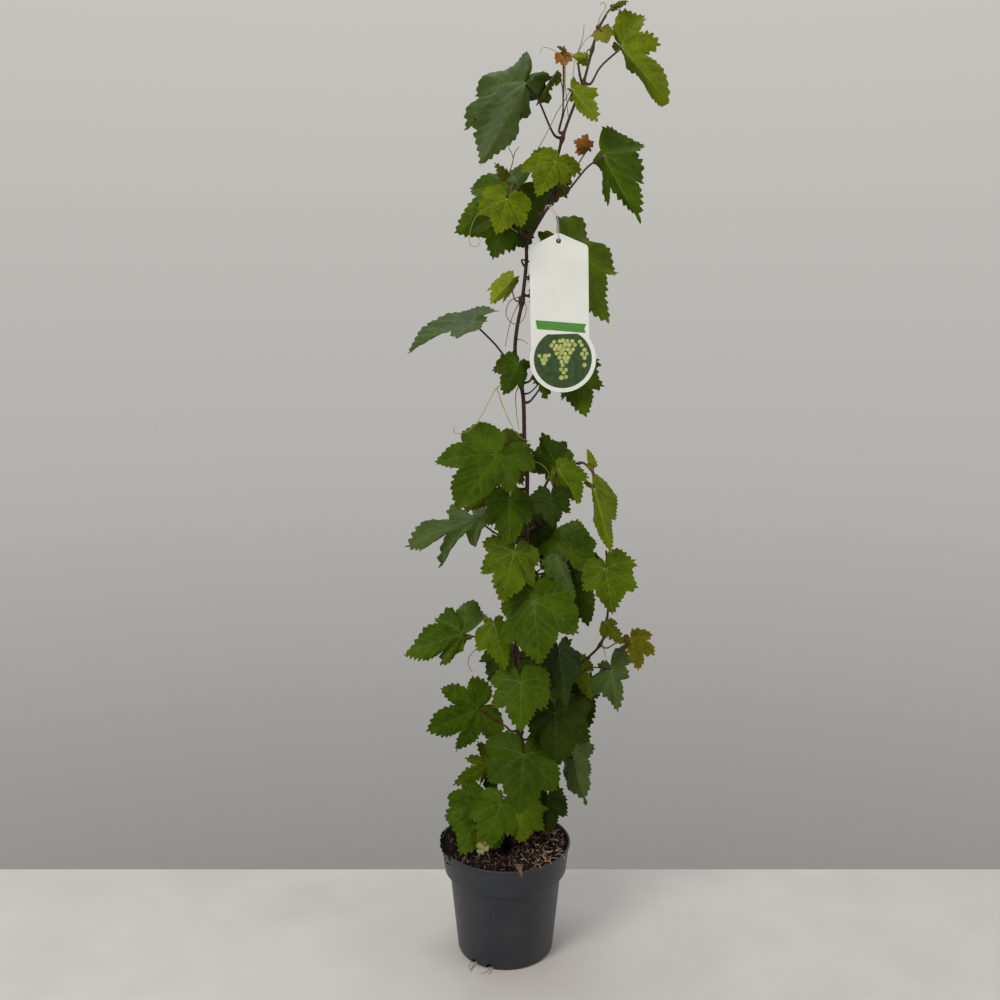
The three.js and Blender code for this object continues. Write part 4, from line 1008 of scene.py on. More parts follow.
def toothed_edge(marks, pitch, draws):
    """The blade's edge in its own flat measure: pointed lobes between the marks, with sharp teeth that
    lean towards the tip of their lobe."""
    corners = []
    for angle, reach, is_low in marks:
        if abs(angle) in LOBE_ANGLES:
            carved = reach * (LOBE_REACH if angle else 1)
        else:
            carved = reach * (SINUS_REACH if is_low else 1)
        corners.append(carved * np.array([math.cos(math.radians(angle)), math.sin(math.radians(angle))]))
    edge = []
    for index, start in enumerate(corners):
        following = (index + 1) % len(corners)
        end = corners[following]
        starts_low, ends_low = marks[index][2], marks[following][2]
        run = np.linalg.norm(end - start)
        outward = np.array([end[1] - start[1], start[0] - end[0]]) / run
        into_heel = 180 in (abs(marks[index][0]), abs(marks[following][0]))
        bulge = 0.1 if starts_low or ends_low else 0.02
        lean = TOOTH_LEAN if marks[following][1] > marks[index][1] else -TOOTH_LEAN
        first = 0.5 if starts_low else 0.0
        last = max(1, round(run / pitch)) + (0.5 if ends_low else 0.0)
        depth = 0 if into_heel else TOOTH_DEPTH * run / (last - first)
        if starts_low:
            edge.append(start)
        for tooth in range(int(last) + 1):
            size = depth * (0.55 + 1.2 * draws.random() ** 1.5)
            for part, rise in TOOTH_SHAPE:
                if tooth == 0 and part == 0 and not starts_low:
                    edge.append(start * (1 + 0.4 * size / np.linalg.norm(start)))
                    continue
                spot = (tooth + part + (lean if abs(part) < 0.3 else 0) - first) / (last - first)
                if spot < 0.02 or spot > 1 - 0.1 / (last - first):
                    continue
                from_tip = spot if marks[index][0] == 0 else 1 - spot if marks[following][0] == 0 else 1
                from_low = min(spot if starts_low else 1, 1 - spot if ends_low else 1)
                fade = min(1, 3 * from_low, 0.4 + 2 * from_tip)
                lift = bulge * run * 4 * spot * (1 - spot) + 0.5 * size * rise * fade
                edge.append(start + (end - start) * spot + outward * lift)
    return np.array(edge)


def reach_towards(edge, angles):
    """How far the edge lies from the stalk in the given directions."""
    turns = np.arctan2(edge[:, 1], edge[:, 0])
    order = np.argsort(turns)
    return np.interp(angles, turns[order], np.linalg.norm(edge, axis=1)[order], period=2 * math.pi)


def veins_of(marks, edge, draws):
    """The veins in the flat leaf: one to each lobe, and side veins that end in the teeth. Each is its
    points and whether it is a main one."""
    veins = []
    for lobe in LOBE_ANGLES:
        reach = next(reach for angle, reach, _ in marks if angle == lobe)
        turn = math.radians(lobe)
        tip = 0.96 * reach * np.array([math.cos(turn), math.sin(turn)])
        bend = 0.035 * reach * np.sign(lobe) * np.array([-math.sin(turn), math.cos(turn)])
        steps = np.linspace(0, 1, 15)[:, None]
        spine = steps * tip + 4 * steps * (1 - steps) * bend
        veins.append((spine, True))
        for side in (1, -1):
            inner = [0] + sorted(SINUS_ANGLES)
            outwards = side * (np.sign(lobe) or side)
            limits = [limit for limit in inner if (limit - abs(lobe)) * outwards > 0]
            limit = math.radians(min(limits, key=lambda value: abs(value - abs(lobe)), default=0))
            for place in LOBE_FORKS if lobe else MIDRIB_FORKS:
                place += 0.08 * (draws.random() - 0.5)
                start = spine[round(place * 14)]
                heading = turn + side * math.radians(42 + 10 * draws.random() - 6 * place)
                trail = [start]
                for _ in range(24):
                    spot = trail[-1] + VEIN_STEP * np.array([math.cos(heading), math.sin(heading)])
                    heading -= side * math.radians(VEIN_BEND)
                    angle = math.atan2(spot[1], spot[0])
                    away = np.linalg.norm(spot)
                    beyond = (abs(angle) - limit) * outwards > -0.02 and away < 0.9
                    if away > 0.95 * reach_towards(edge, angle) or beyond:
                        break
                    trail.append(spot)
                if len(trail) > 2:
                    veins.append((np.array(trail), False))
    return veins


class Blade:
    """Where a flat place on a leaf lies in space: arched along its middle vein, and each half falls
    away from that vein by its own fold and bends on towards its edge."""

    def __init__(self, leaf, draws):
        self.leaf = leaf
        self.base = np.array(leaf["at"], float)
        chord = np.array(leaf["tip"], float) - self.base
        self.length = np.linalg.norm(chord)
        self.along = chord / self.length
        front = np.array([0, -1, 0]) + self.along * self.along[1]
        turning = Matrix.Rotation(math.radians(leaf["turn"]), 3, Vector(self.along))
        self.facing = np.array(turning @ Vector(unit(front)))
        self.across = np.cross(self.facing, self.along)
        self.waves = [(k, WAVE_HEIGHT * draws.normal(), 6.3 * draws.random()) for k in (2, 3, 5, 8)]
        self.mains = []

    def flat_to_space(self, flat):
        forward, aside = flat[:, 0], flat[:, 1]
        side = (aside >= 0).astype(int)
        away = abs(aside)
        fallen = np.sqrt(away**2 + MIDRIB_SOFTNESS**2) - MIDRIB_SOFTNESS
        fold = np.radians(self.leaf["fold"])[side]
        arch, bend = math.radians(self.leaf["arch"]), math.radians(self.leaf["curl"])
        lean = arch * (forward + np.array(self.leaf["sweep"])[side] * away - 0.5)
        sideways = np.sign(aside) * (np.sin(fold + bend * away) - np.sin(fold)) / bend
        drop = (np.cos(fold) - np.cos(fold + bend * fallen)) / bend
        arc = 0.5 / math.sin(arch / 2)
        forth = arc * (math.sin(arch / 2) + np.sin(lean)) - drop * np.sin(lean)
        raised = arc * (np.cos(lean) - math.cos(arch / 2)) - drop * np.cos(lean)
        moved = forth[:, None] * self.along + raised[:, None] * self.facing + sideways[:, None] * self.across
        return self.base + self.length * moved

    def normals(self, flat):
        step = 0.006
        ahead = self.flat_to_space(flat + [step, 0]) - self.flat_to_space(flat - [step, 0])
        beside = self.flat_to_space(flat + [0, step]) - self.flat_to_space(flat - [0, step])
        return unit(np.cross(ahead, beside))

    def surface(self, flat, edge, veins=()):
        """Places and normals of the middle of the blade, with the edge's waves, a trough along each main
        vein and the quilting between all of them."""
        turn = np.arctan2(flat[:, 1], flat[:, 0])
        outer = np.minimum(1, np.linalg.norm(flat, axis=1) / reach_towards(edge, turn)) ** 3
        lift = sum(size * np.sin(count * turn + phase) for count, size, phase in self.waves) * outer
        if self.mains:
            lift += TROUGH_HEIGHT * (1 - np.exp(-((distance_to(flat, self.mains) / TROUGH_REACH) ** 2)))
        if len(veins):
            lift += QUILT_HEIGHT * (1 - np.exp(-((distance_to(flat, veins) / QUILT_REACH) ** 2)))
        normal = self.normals(flat)
        return self.flat_to_space(flat) + self.length * lift[:, None] * normal, normal


def distance_to(flat, veins):
    """How far each flat place lies from the nearest vein."""
    starts = np.concatenate([vein[:-1] for vein, _ in veins])
    runs = np.concatenate([np.diff(vein, axis=0) for vein, _ in veins])
    offsets = flat[:, None] - starts[None]
    shares = np.clip((offsets * runs).sum(2) / (runs**2).sum(1), 0, 1)
    return np.linalg.norm(offsets - shares[..., None] * runs, axis=2).min(1)


def blade_mesh(blade, edge, veins, spacing, ripeness):
    """A thin closed blade: its places, its triangles and edge faces, its flat places, how near each of
    them is to a vein, to the edge and to a burnt patch, and how ripe the leaf is."""
    low, high = edge.min(0), edge.max(0)
    rows = np.arange(low[0], high[0], spacing * ROW_STEP)
    columns = np.arange(low[1], high[1], spacing)
    grid = np.array([(row, column + spacing * 0.5 * (index % 2))
                     for index, row in enumerate(rows) for column in columns])
    turn = np.arctan2(grid[:, 1], grid[:, 0])
    grid = grid[np.linalg.norm(grid, axis=1) < reach_towards(edge, turn) - 0.3 * spacing]
    ribs = np.concatenate([vein for vein, _ in veins])
    apart = np.linalg.norm(grid[:, None] - ribs[None], axis=2).min(1) > 0.45 * spacing
    from_edge = np.linalg.norm(grid[:, None] - edge[None], axis=2).min(1) > 0.5 * spacing
    spots = np.concatenate([edge, ribs, grid[apart & from_edge]])
    rim = [(index, (index + 1) % len(edge)) for index in range(len(edge))]
    ribbing, start = [], len(edge)
    for vein, _ in veins:
        ribbing += [(start + step, start + step + 1) for step in range(len(vein) - 1)]
        start += len(vein)
    made = delaunay_2d_cdt([Vector(spot) for spot in spots], rim + ribbing, [list(range(len(edge)))], 1, 1e-6)
    flat = np.array([tuple(spot) for spot in made[0]])
    triangles = np.array(made[2])
    corners = flat[triangles]
    first, second = corners[:, 1] - corners[:, 0], corners[:, 2] - corners[:, 0]
    turned = first[:, 0] * second[:, 1] - first[:, 1] * second[:, 0] < 0
    triangles[turned] = triangles[turned][:, ::-1]
    sides = np.concatenate([triangles[:, [0, 1]], triangles[:, [1, 2]], triangles[:, [2, 0]]])
    known = {tuple(side) for side in sides.tolist()}
    open_sides = np.array([side for side in known if side[::-1] not in known])
    open_sides = open_sides[np.lexsort(open_sides.T)]
    middle, normal = blade.surface(flat, edge, veins)
    shift = LEAF_HALF_THICKNESS * normal
    places = np.concatenate([middle + shift, middle - shift])
    below = len(flat)
    near_vein = np.exp(-((distance_to(flat, veins) / PALE_BY_VEIN) ** 2))
    to_edge = np.linalg.norm(flat[:, None] - edge[None], axis=2).min(1)
    near_edge = np.exp(-((to_edge / RIPE_BY_EDGE) ** 2))
    burnt = np.zeros(len(flat))
    if blade.leaf["burn"]:
        burnt += np.exp(-((np.linalg.norm(flat - blade.leaf["burn"], axis=1) / BURN_REACH) ** 4))
    ahead, back = open_sides.T
    walls = np.column_stack([back, ahead, ahead + below, back + below])
    shares = np.stack([near_vein, near_edge, burnt, np.full(len(flat), ripeness)])
    return places, triangles, walls, flat, shares


def vein_ribbons(blade, edge, veins):
    """Slender ridges that run along the veins and stand a little proud of both faces of the blade."""
    places, faces = [], []
    for vein, is_main in veins:
        middle, normal = blade.surface(vein, edge)
        beside = np.cross(normal, unit(np.gradient(middle, axis=0)))
        taper = np.linspace(1, 0.42, len(vein))[:, None] * min(1, 0.3 + 0.7 * blade.length / 60)
        if is_main:
            taper[:2] *= [[2.4], [1.4]]
        half_width, rise = MAIN_VEIN_SIZE if is_main else SIDE_VEIN_SIZE
        wide, tall = half_width * taper, LEAF_HALF_THICKNESS + rise * taper
        start = sum(len(block) for block in places)
        ring = np.stack([middle + beside * wide, middle + normal * tall,
                         middle - beside * wide, middle - normal * tall], 1)
        places.append(ring.reshape(-1, 3))
        faces += [[start + corner for corner in face] for face in ring_faces(len(vein), 4)]
    return np.concatenate(places), faces


LEAF_TINTS = {
    # Painted shade: the shade tint darkens the leaves that lie in shadow deep in the plant.
    "shade": ((36, 50, 2), (58, 72, 22), (68, 86, 30), (40, 50, 2)),
    "deep": ((48, 67, 2), (74, 92, 30), (88, 108, 42), (56, 70, 2)),
    "green": ((58, 79, 3), (86, 106, 38), (106, 126, 50), (70, 84, 3)),
    "fresh": ((71, 89, 3), (98, 116, 40), (124, 142, 58), (86, 96, 3)),
    "bright": ((86, 102, 3), (112, 128, 42), (142, 158, 66), (104, 106, 4)),
    "lime": ((114, 126, 16), (128, 142, 48), (162, 174, 84), (128, 122, 18)),
    "gold": ((100, 98, 12), (110, 106, 28), (78, 74, 16), (84, 72, 12)),
    "cool": ((43, 60, 20), (68, 88, 42), (84, 106, 56), (48, 62, 16)),
    "olive": ((64, 73, 3), (92, 102, 36), (110, 120, 50), (82, 78, 6)),
    # Painted sheen: the grey tint mixes a bluish grey reflection of the sky into these leaves' green, besides
    # their real higher gloss.
    "grey": ((58, 75, 20), (86, 102, 50), (106, 124, 68), (62, 76, 12)),
    "bronze": ((128, 80, 30), (146, 100, 52), (160, 112, 60), (150, 84, 30)),
    "autumn": ((82, 84, 3), (114, 112, 36), (146, 132, 60), (134, 92, 10)),
}
LEAF_GLOSS = 0.06
GREY_GLOSS = 0.22
BURNT_TONE = (172, 158, 118)


def attribute_of(material, name):
    return add_node(material, "ShaderNodeAttribute", {}, attribute_name=name).outputs["Fac"]


def reckoned(material, operation, first, second):
    return add_node(material, "ShaderNodeMath", {0: first, 1: second}, operation=operation).outputs["Value"]


def leaf_skin(name, tone, rim_tone, roughness, gloss, bump):
    """Leaf skin, mottled in large and small patches, paler along the veins, riper at its rim and dry
    where it is burnt, with a fine net of veinlets."""
    skin, shader = new_material(name, roughness, gloss)
    place = object_place(skin)
    patch = noise_at(skin, place, 24.0, 1.0)
    cloud = noise_at(skin, place, 60.0, 3.0, 0.5)
    mottle = noise_at(skin, place, 240.0, 4.0, 0.6)
    net = add_node(skin, "ShaderNodeTexVoronoi", {
        "Vector": place, "Scale": 380.0}, feature="DISTANCE_TO_EDGE").outputs["Distance"]
    low, high = [value * 0.82 for value in tone], [min(255, value * 1.15) for value in tone]
    leaf_shift = between(skin, attribute_of(skin, "ripeness"), -0.12, 0.12)
    shift = reckoned(skin, "ADD", leaf_shift, between(skin, patch, -0.32, 0.32))
    ripe_cloud = reckoned(skin, "ADD", cloud, shift)
    ground = shades(skin, ripe_cloud, [(0.34, linear(*low)), (0.66, linear(*high))])
    dark, pale = [value * 0.8 for value in tone], [min(255, value * 1.2 + 6) for value in tone]
    spots = shades(skin, mottle, [(0.36, linear(*dark)), (0.64, linear(*high))])
    spotted = blend(skin, between(skin, mottle, 0.0, 0.6), ground, spots)
    vein_share = reckoned(skin, "MULTIPLY", attribute_of(skin, "near_vein"), 0.22)
    veined = blend(skin, vein_share, spotted, linear(*pale))
    net_line = shades(skin, net, [(0.0, (1, 1, 1, 1)), (0.1, (0, 0, 0, 1))])
    netted = blend(skin, reckoned(skin, "MULTIPLY", net_line, 0.16), veined, linear(*pale))
    rim_share = reckoned(skin, "MULTIPLY", attribute_of(skin, "near_edge"), between(skin, cloud, 0.0, 1.1))
    rimmed = blend(skin, rim_share, netted, linear(*rim_tone))
    burnt_cloud = reckoned(skin, "MULTIPLY", attribute_of(skin, "burnt"), between(skin, mottle, -0.3, 1.7))
    burnt_share = rising(skin, burnt_cloud, 0.3, 1.0)
    join_to(skin, blend(skin, burnt_share, rimmed, linear(*BURNT_TONE)), shader, "Base Color")
    join_to(skin, between(skin, mottle, roughness - 0.1, roughness + 0.12), shader, "Roughness")
    bumped(skin, shader, net, bump, 0.0006)
    return skin


grown = {tint: dict(blades=[], nodes=set()) for tint in LEAF_TINTS}
stalk_routes, stalk_radii, stalk_tones = [], [], []
STALK_FOOT = 1.5
STALK_HEAD = 1.15
SQUARE_EXIT = 5
STALK_TILT = 0.7
FORK_SIZE = 1.2
DARK_STALK, RED_STALK, OLIVE_STALK = range(3)
STALK_TONES = {
    **dict.fromkeys(("grey", "deep", "shade", "cool"), DARK_STALK),
    **dict.fromkeys(("green", "bright", "fresh"), RED_STALK),
}


def exit_from(limb, height, target):
    """Where a stalk starts inside its limb's bark, and where it has come out squarely."""
    share = limb.share_at(height)
    middle, direction = limb.point_at(share), limb.tangent_at(share)
    if share == 1:
        return [middle - direction * 2, middle + direction * SQUARE_EXIT]
    outward = square_to(np.array(target, float) - middle, direction)
    bark_reach = float(limb.radius_at(share))
    return [middle + outward * bark_reach * 0.4, middle + outward * (bark_reach + STALK_TILT + SQUARE_EXIT)]


def add_stalk(places, size, tone):
    """A stalk, swollen at its foot where it joins the bark and a little at its head."""
    route = smooth_route(places, 2.0)
    share = np.linspace(0, 1, len(route))
    run = 2.0 * np.arange(len(route))
    radius = STALK_FOOT + (STALK_HEAD - STALK_FOOT) * np.minimum(1, share * 3)
    swelling = 0.35 * np.exp(-((run / 5) ** 2)) + 0.18 * np.exp(-(((run[-1] - run) / 3) ** 2))
    stalk_routes.append(route)
    stalk_radii.append(size * radius * (1 + swelling))
    stalk_tones.append(tone)


def grow_leaf(entry, node, number, index, start):
    """Grows one leaf and its stalk, which starts on a limb or at the twig's fork."""
    draws = np.random.default_rng(1000 * number + index)
    blade = Blade(entry, draws)
    marks = marks_of(entry, seeded(number * 10 + index))
    pitch = min(WIDEST_PITCH, max(CLOSEST_PITCH, TOOTH_PITCH / blade.length))
    edge = toothed_edge(marks, pitch, draws)
    veins = veins_of(marks, edge, draws)
    blade.mains = [vein for vein in veins if vein[1]]
    spacing = LONG_LEAF_SPACING if blade.length > LONG_LEAF else SHORT_LEAF_SPACING
    seat = blade.surface(np.array([[0.02, 0.0]]), edge)[0][0]
    add_stalk([*start, *entry["via"], seat], entry["stalk"], STALK_TONES.get(entry["tint"], OLIVE_STALK))
    body = blade_mesh(blade, edge, veins, spacing, draws.random())
    grown[entry["tint"]]["blades"].append((*body, *vein_ribbons(blade, edge, veins)))
    grown[entry["tint"]]["nodes"].add(node)


for number, (limb, height, fork, *leaves) in enumerate(twigs, 1):
    node = f"foliage_{number:02d}"
    if fork:
        add_stalk([*exit_from(limb, height, fork), fork], FORK_SIZE, RED_STALK)
    for index, entry in enumerate(leaves):
        first = [*entry["via"], entry["at"]][0]
        start = [fork] if fork else exit_from(limb, height, first)
        grow_leaf(entry, node, number, index, start)

for tint, (upper_tone, under_tone, vein_tone, rim_tone) in LEAF_TINTS.items():
    blades = grown[tint]["blades"]
    places, faces, slots, uvs = [], [], [], []
    vein_places, vein_faces = [], []
    leaf_shares = []
    cells = math.ceil(math.sqrt(2 * len(blades)))
    for order, (points, triangles, walls, flat, shares, ribbon, ribbon_faces) in enumerate(blades):
        start = sum(len(block) for block in places)
        places.append(points)
        leaf_shares += [shares, shares]
        below = triangles[:, ::-1] + len(flat)
        faces += (triangles + start).tolist() + (below + start).tolist() + (walls + start).tolist()
        slots += [0] * len(triangles) + [1] * (len(below) + len(walls))
        fitted = 0.04 + 0.92 * (flat - flat.min(0)) / np.ptp(flat, axis=0).max()
        for face_side, corners in ((0, triangles), (1, triangles[:, ::-1]), (1, walls % len(flat))):
            cell = 2 * order + face_side
            uvs.append((fitted[corners.ravel()] + [cell % cells, cell // cells]) / cells)
        ribbon_start = sum(len(block) for block in vein_places)
        vein_places.append(ribbon)
        vein_faces += [tuple(corner + ribbon_start for corner in face) for face in ribbon_faces]
    leaf_mesh = mesh_of(f"leaves_{tint}", np.concatenate(places), faces)
    leaf_mesh.polygons.foreach_set("material_index", np.array(slots, np.int32))
    lay_out(leaf_mesh, np.concatenate(uvs))
    for attribute_name, row in zip(("near_vein", "near_edge", "burnt", "ripeness"), np.hstack(leaf_shares)):
        attribute = leaf_mesh.attributes.new(attribute_name, "FLOAT", "POINT")
        attribute.data.foreach_set("value", row.astype(np.float32))
    shade_round(leaf_mesh, 60)
    gloss = GREY_GLOSS if tint == "grey" else LEAF_GLOSS
    skins = [
        leaf_skin(f"leaf_upper_{tint}", upper_tone, rim_tone, 0.5, gloss, 0.35),
        leaf_skin(f"leaf_under_{tint}", under_tone, rim_tone, 0.75, LEAF_GLOSS, 0.5),
    ]
    add_piece(f"leaves_{tint}", leaf_mesh, skins, "leaves", *sorted(grown[tint]["nodes"]))
    vein_mesh = mesh_of(f"veins_{tint}", np.concatenate(vein_places), vein_faces)
    vein_mesh.shade_smooth()
    vein_dark = [value * 0.8 for value in vein_tone]
    vein_skin = grained(f"vein_{tint}", 0.55, 0.3, (300.0, 3.0), vein_dark, vein_tone)
    add_piece(f"veins_{tint}", vein_mesh, [vein_skin], "leaves", *sorted(grown[tint]["nodes"]))


# The leaf stalks: round smooth stalks, almost black or reddish brown on most leaves and olive on the
# youngest and the ripest, swollen where they are set in the bark.
stalk_mesh = swept("leaf_stalks", stalk_routes, stalk_radii, 10, stalk_tones)
stalk_materials = [
    grained(name, 0.5, 0.3, (120.0, 4.0), dark_tone, light_tone, (0.3, 0.0005))
    for name, dark_tone, light_tone in (
        ("stalk_dark", (26, 14, 12), (52, 29, 24)), ("stalk_red", (50, 22, 20), (98, 43, 35)),
        ("stalk_olive", (62, 53, 26), (104, 88, 46)),
    )
]
twig_nodes = [f"foliage_{number:02d}" for number in range(1, len(twigs) + 1)]
add_piece("leaf_stalks", stalk_mesh, stalk_materials, "leaves", *twig_nodes)


# The buds: one small pointed brown bud in the corner of each knot of the stem and its shoots. They grow
# out of the bark and lie pressed against it.
BUD_LONG = 2.6
BUD_WIDE = 1.5
bud_shape = bmesh.new()
for limb in (stem, lower_shoot, middle_shoot):
    for order, knot in enumerate(limb.knots):
        middle, direction = limb.point_at(knot), limb.tangent_at(knot)
        turn = math.radians(70 if order % 2 else 250) + 0.7 * math.sin(3 * order)
        outward = square_to(np.array([math.cos(turn), math.sin(turn), 0]), direction)
        place = middle + outward * float(limb.radius_at(knot)) * 0.95 + direction * 2.2
        aim = Vector(direction * 0.8 + outward * 0.6).to_track_quat("Z", "Y").to_matrix().to_4x4()
        size = min(1, limb.foot / 2.4)
        shape = Matrix.Diagonal((BUD_WIDE * size * MM, BUD_WIDE * size * MM, BUD_LONG * size * MM, 1))
        made = bmesh.ops.create_uvsphere(bud_shape, u_segments=12, v_segments=8, radius=1)
        for vert in made["verts"]:
            taper = 1 - 0.55 * max(0, vert.co.z) ** 1.4
            vert.co.x *= taper
            vert.co.y *= taper
            vert.co.z += 0.25 * max(0, vert.co.z) ** 3
            vert.co = Matrix.Translation(Vector(place) * MM) @ aim @ shape @ vert.co
bud_mesh = mesh_from(bud_shape, "knot_buds")
bud_mesh.shade_smooth()
add_piece("knot_buds", bud_mesh, [bark], "bark", "main_stem", "shoot_lower_right", "shoot_middle_right")


# The tendrils: thin springy threads that leave the knots, fork and curl at their ends. The young ones
# are yellowish green and the old ones dry and tan.
TENDRIL_FOOT = 0.62
TENDRIL_END = 0.34
tendrils = [
    (0, [[6, 4, 921], [3, -6, 950], [10, -8, 979], [30, -10, 1001], [50, -14, 1035], [58, -14, 1051],
         [73, -10, 1076], [79, -8, 1111], [90, -6, 1130], [100, -2, 1139]]),
    (0, [[79, -8, 1111], [86, -7, 1130], [88, -8, 1146]]),
    (1, [[104, 0, 1143], [106, -4, 1155], [112, -8, 1164], [109, -12, 1169], [105, -10, 1167]]),
    (0, [[112, 0, 1157], [120, -3, 1164], [127, -4, 1163], [130, -6, 1168], [126, -8, 1171]]),
    (1, [[72, 0, 1044], [68, -2, 1080], [65, 0, 1112], [47, -10, 1121], [41, -14, 1120], [38, -14, 1115]]),
    (0, [[4, -6, 986], [8, -10, 1001], [3, -12, 1012], [0, -12, 1017]]),
    (0, [[8, -10, 1001], [11, -11, 1009], [15, -12, 1013]]),
    (1, [[14, 0, 918], [-8, -10, 931], [-32, -20, 937], [-42, -24, 915], [-41, -26, 903], [-34, -25, 901],
         [-30, -22, 907], [-33, -20, 912]]),
    (2, [[18, 0, 845], [4, -9, 838], [0, -13, 824], [5, -14, 815], [14, -12, 812], [21, -8, 819],
         [24, -5, 832], [20, -3, 841]]),
    (2, [[16, 0, 838], [8, -9, 822], [3, -12, 806], [-1, -16, 786]]),
    (2, [[14, -1, 794], [20, -7, 793], [26, -11, 789]]),
    (2, [[16, 0, 739], [12, -8, 730], [13, -12, 704], [16, -14, 687]]),
    (1, [[18, 0, 741], [4, -6, 742], [-11, -12, 737], [-20, -16, 722], [-29, -20, 705], [-43, -23, 688],
         [-53, -25, 684], [-61, -26, 685], [-62, -27, 690], [-58, -27, 691]]),
    (1, [[-11, -12, 737], [-3, -16, 714], [7, -20, 693], [18, -20, 678], [29, -18, 674]]),
    (0, [[27, 0, 640], [38, -6, 646], [48, -12, 640], [52, -14, 632], [47, -18, 624]]),
    (2, [[24, 0, 580], [4, -8, 582], [-12, -12, 574], [-18, -14, 567], [-16, -18, 560], [-12, -18, 561]]),
    (2, [[-14, -8, 425], [-36, -12, 412], [-46, -20, 402], [-45, -26, 392], [-41, -28, 387]]),
    (0, [[120, 0, 415], [123, -8, 409], [125, -14, 401]]),
]
tendril_tones, tendril_lines = zip(*tendrils)
tendril_mesh = threads("tendrils", tendril_lines, 1.5, TENDRIL_FOOT, TENDRIL_END, 8, tendril_tones)
tendril_materials = [
    grained(name, 0.55, 0.35, (90.0, 3.0), dark_tone, light_tone) for name, dark_tone, light_tone in (
        ("tendril_green", (88, 88, 34), (132, 128, 58)), ("tendril_yellow", (134, 124, 56), (176, 164, 86)),
        ("tendril_tan", (96, 66, 34), (140, 104, 56)),
    )
]
add_piece("tendrils", tendril_mesh, tendril_materials, "leaves")


# The hanging card: stiff white board, cut with a peaked top and a round foot and punched for its string.
# It is flecked, as recycled board is, and printed with a plain green band and a panel of round spots.
CARD_WIDTH = 69
CARD_THICKNESS = 0.9
CARD_PEAK = 15
CARD_SHOULDER = 6
CARD_ROUND = 39.5
CARD_ROUND_DROP = 146
CARD_ROUND_SHIFT = 3
CARD_HOLE = 3
CARD_HOLE_DROP = 9
CARD_BENDS = range(-180, 0, 12)
CARD_LEAN = 1.4
CARD_TOP = (61, -11, 917)
CARD_BOW = 0.5
card_place = Matrix.Translation(Vector(CARD_TOP) * MM) @ Matrix.Rotation(math.radians(-CARD_LEAN), 4, "Y")
half = CARD_WIDTH / 2


def bow_card(shape):
    """Bows a flat cut piece forward in the middle of the card's height, and puts it in its place."""
    for vert in shape.verts:
        down = max(0, min(1, -vert.co.z / MM / (CARD_ROUND_DROP + CARD_ROUND)))
        vert.co.y -= CARD_BOW * math.sin(math.pi * down) * MM
    shape.transform(card_place)


def card_piece(outline, holes, front, back, name):
    """A flat cut piece of board between two depths, bowed a little and put in its place on the card."""
    shape = bmesh.new()
    for loop in (outline, *holes):
        corners = [shape.verts.new((x * MM, front * MM, z * MM)) for x, z in loop]
        for corner, following in zip(corners, corners[1:] + corners[:1]):
            shape.edges.new((corner, following))
    bmesh.ops.triangle_fill(shape, use_beauty=True, edges=shape.edges[:], normal=(0, -1, 0))
    for level in CARD_BENDS:
        bmesh.ops.bisect_plane(
            shape, geom=shape.verts[:] + shape.edges[:] + shape.faces[:], plane_co=(0, 0, level * MM),
            plane_no=(0, 0, 1))
    made = bmesh.ops.extrude_face_region(shape, geom=shape.faces[:])
    for vert in made["geom"]:
        if isinstance(vert, bmesh.types.BMVert):
            vert.co.y = back * MM
    bow_card(shape)
    return mesh_from(shape, name)


def arc(middle, radius, start, end, steps):
    turns = [math.radians(turn) for turn in np.linspace(start, end, steps)]
    return [(middle[0] + radius * math.cos(turn), middle[1] + radius * math.sin(turn)) for turn in turns]


foot_middle = (CARD_ROUND_SHIFT, -CARD_ROUND_DROP)
meet_left = math.degrees(math.acos((half + CARD_ROUND_SHIFT) / CARD_ROUND))
meet_right = math.degrees(math.acos((half - CARD_ROUND_SHIFT) / CARD_ROUND))
shoulder_level = 2 - CARD_PEAK - CARD_SHOULDER
card_outline = [
    (-3, -0.8), *arc((-half + CARD_SHOULDER, shoulder_level), CARD_SHOULDER, 112, 180, 7),
    *arc(foot_middle, CARD_ROUND, 180 - meet_left, 360 + meet_right, 49),
    *arc((half - CARD_SHOULDER, shoulder_level), CARD_SHOULDER, 0, 68, 7), (3, -0.8), (0, -0.2),
]
hole_ring = arc((0, -CARD_HOLE_DROP), CARD_HOLE, 0, 345, 24)
card_mesh = card_piece(card_outline, [hole_ring], -CARD_THICKNESS, 0, "card_board")
shade_round(card_mesh, 30)
board, board_shader = new_material("white_board", 0.45, 0.4)
board_place = object_place(board)
board_fleck = noise_at(board, board_place, 800.0, 2.0, 0.7)
board_cloud = noise_at(board, board_place, 30.0, 2.0)
board_white = shades(board, board_cloud, [(0.3, linear(222, 224, 218)), (0.7, linear(232, 233, 228))])
flecked = blend(board, rising(board, board_fleck, 0.7, 0.76), board_white, linear(150, 148, 138))
join_to(board, flecked, board_shader, "Base Color")
add_piece("card_board", card_mesh, [board], "card", "hanging_card")

BAND_TOP = -99.5
BAND_DEEP = 10.5
BAND_SLANT = 6
PANEL_RIM = 5
PANEL_TOP = -116.5
PRINT_RISE = 0.06
print_front = -CARD_THICKNESS - PRINT_RISE
print_back = -CARD_THICKNESS + 0.2
band_right = BAND_TOP - BAND_SLANT
band_outline = [
    (-28.6, BAND_TOP), (-27, BAND_TOP - BAND_DEEP), (30.5, band_right - BAND_DEEP),
    (29, band_right - BAND_DEEP / 2), (31.5, band_right),
]
band_mesh = card_piece(band_outline, [], print_front, print_back, "card_band")
band_ink = grained("green_ink", 0.4, 0.4, (500.0, 2.0), (74, 132, 52), (84, 144, 60))
add_piece("card_band", band_mesh, [band_ink], "card")

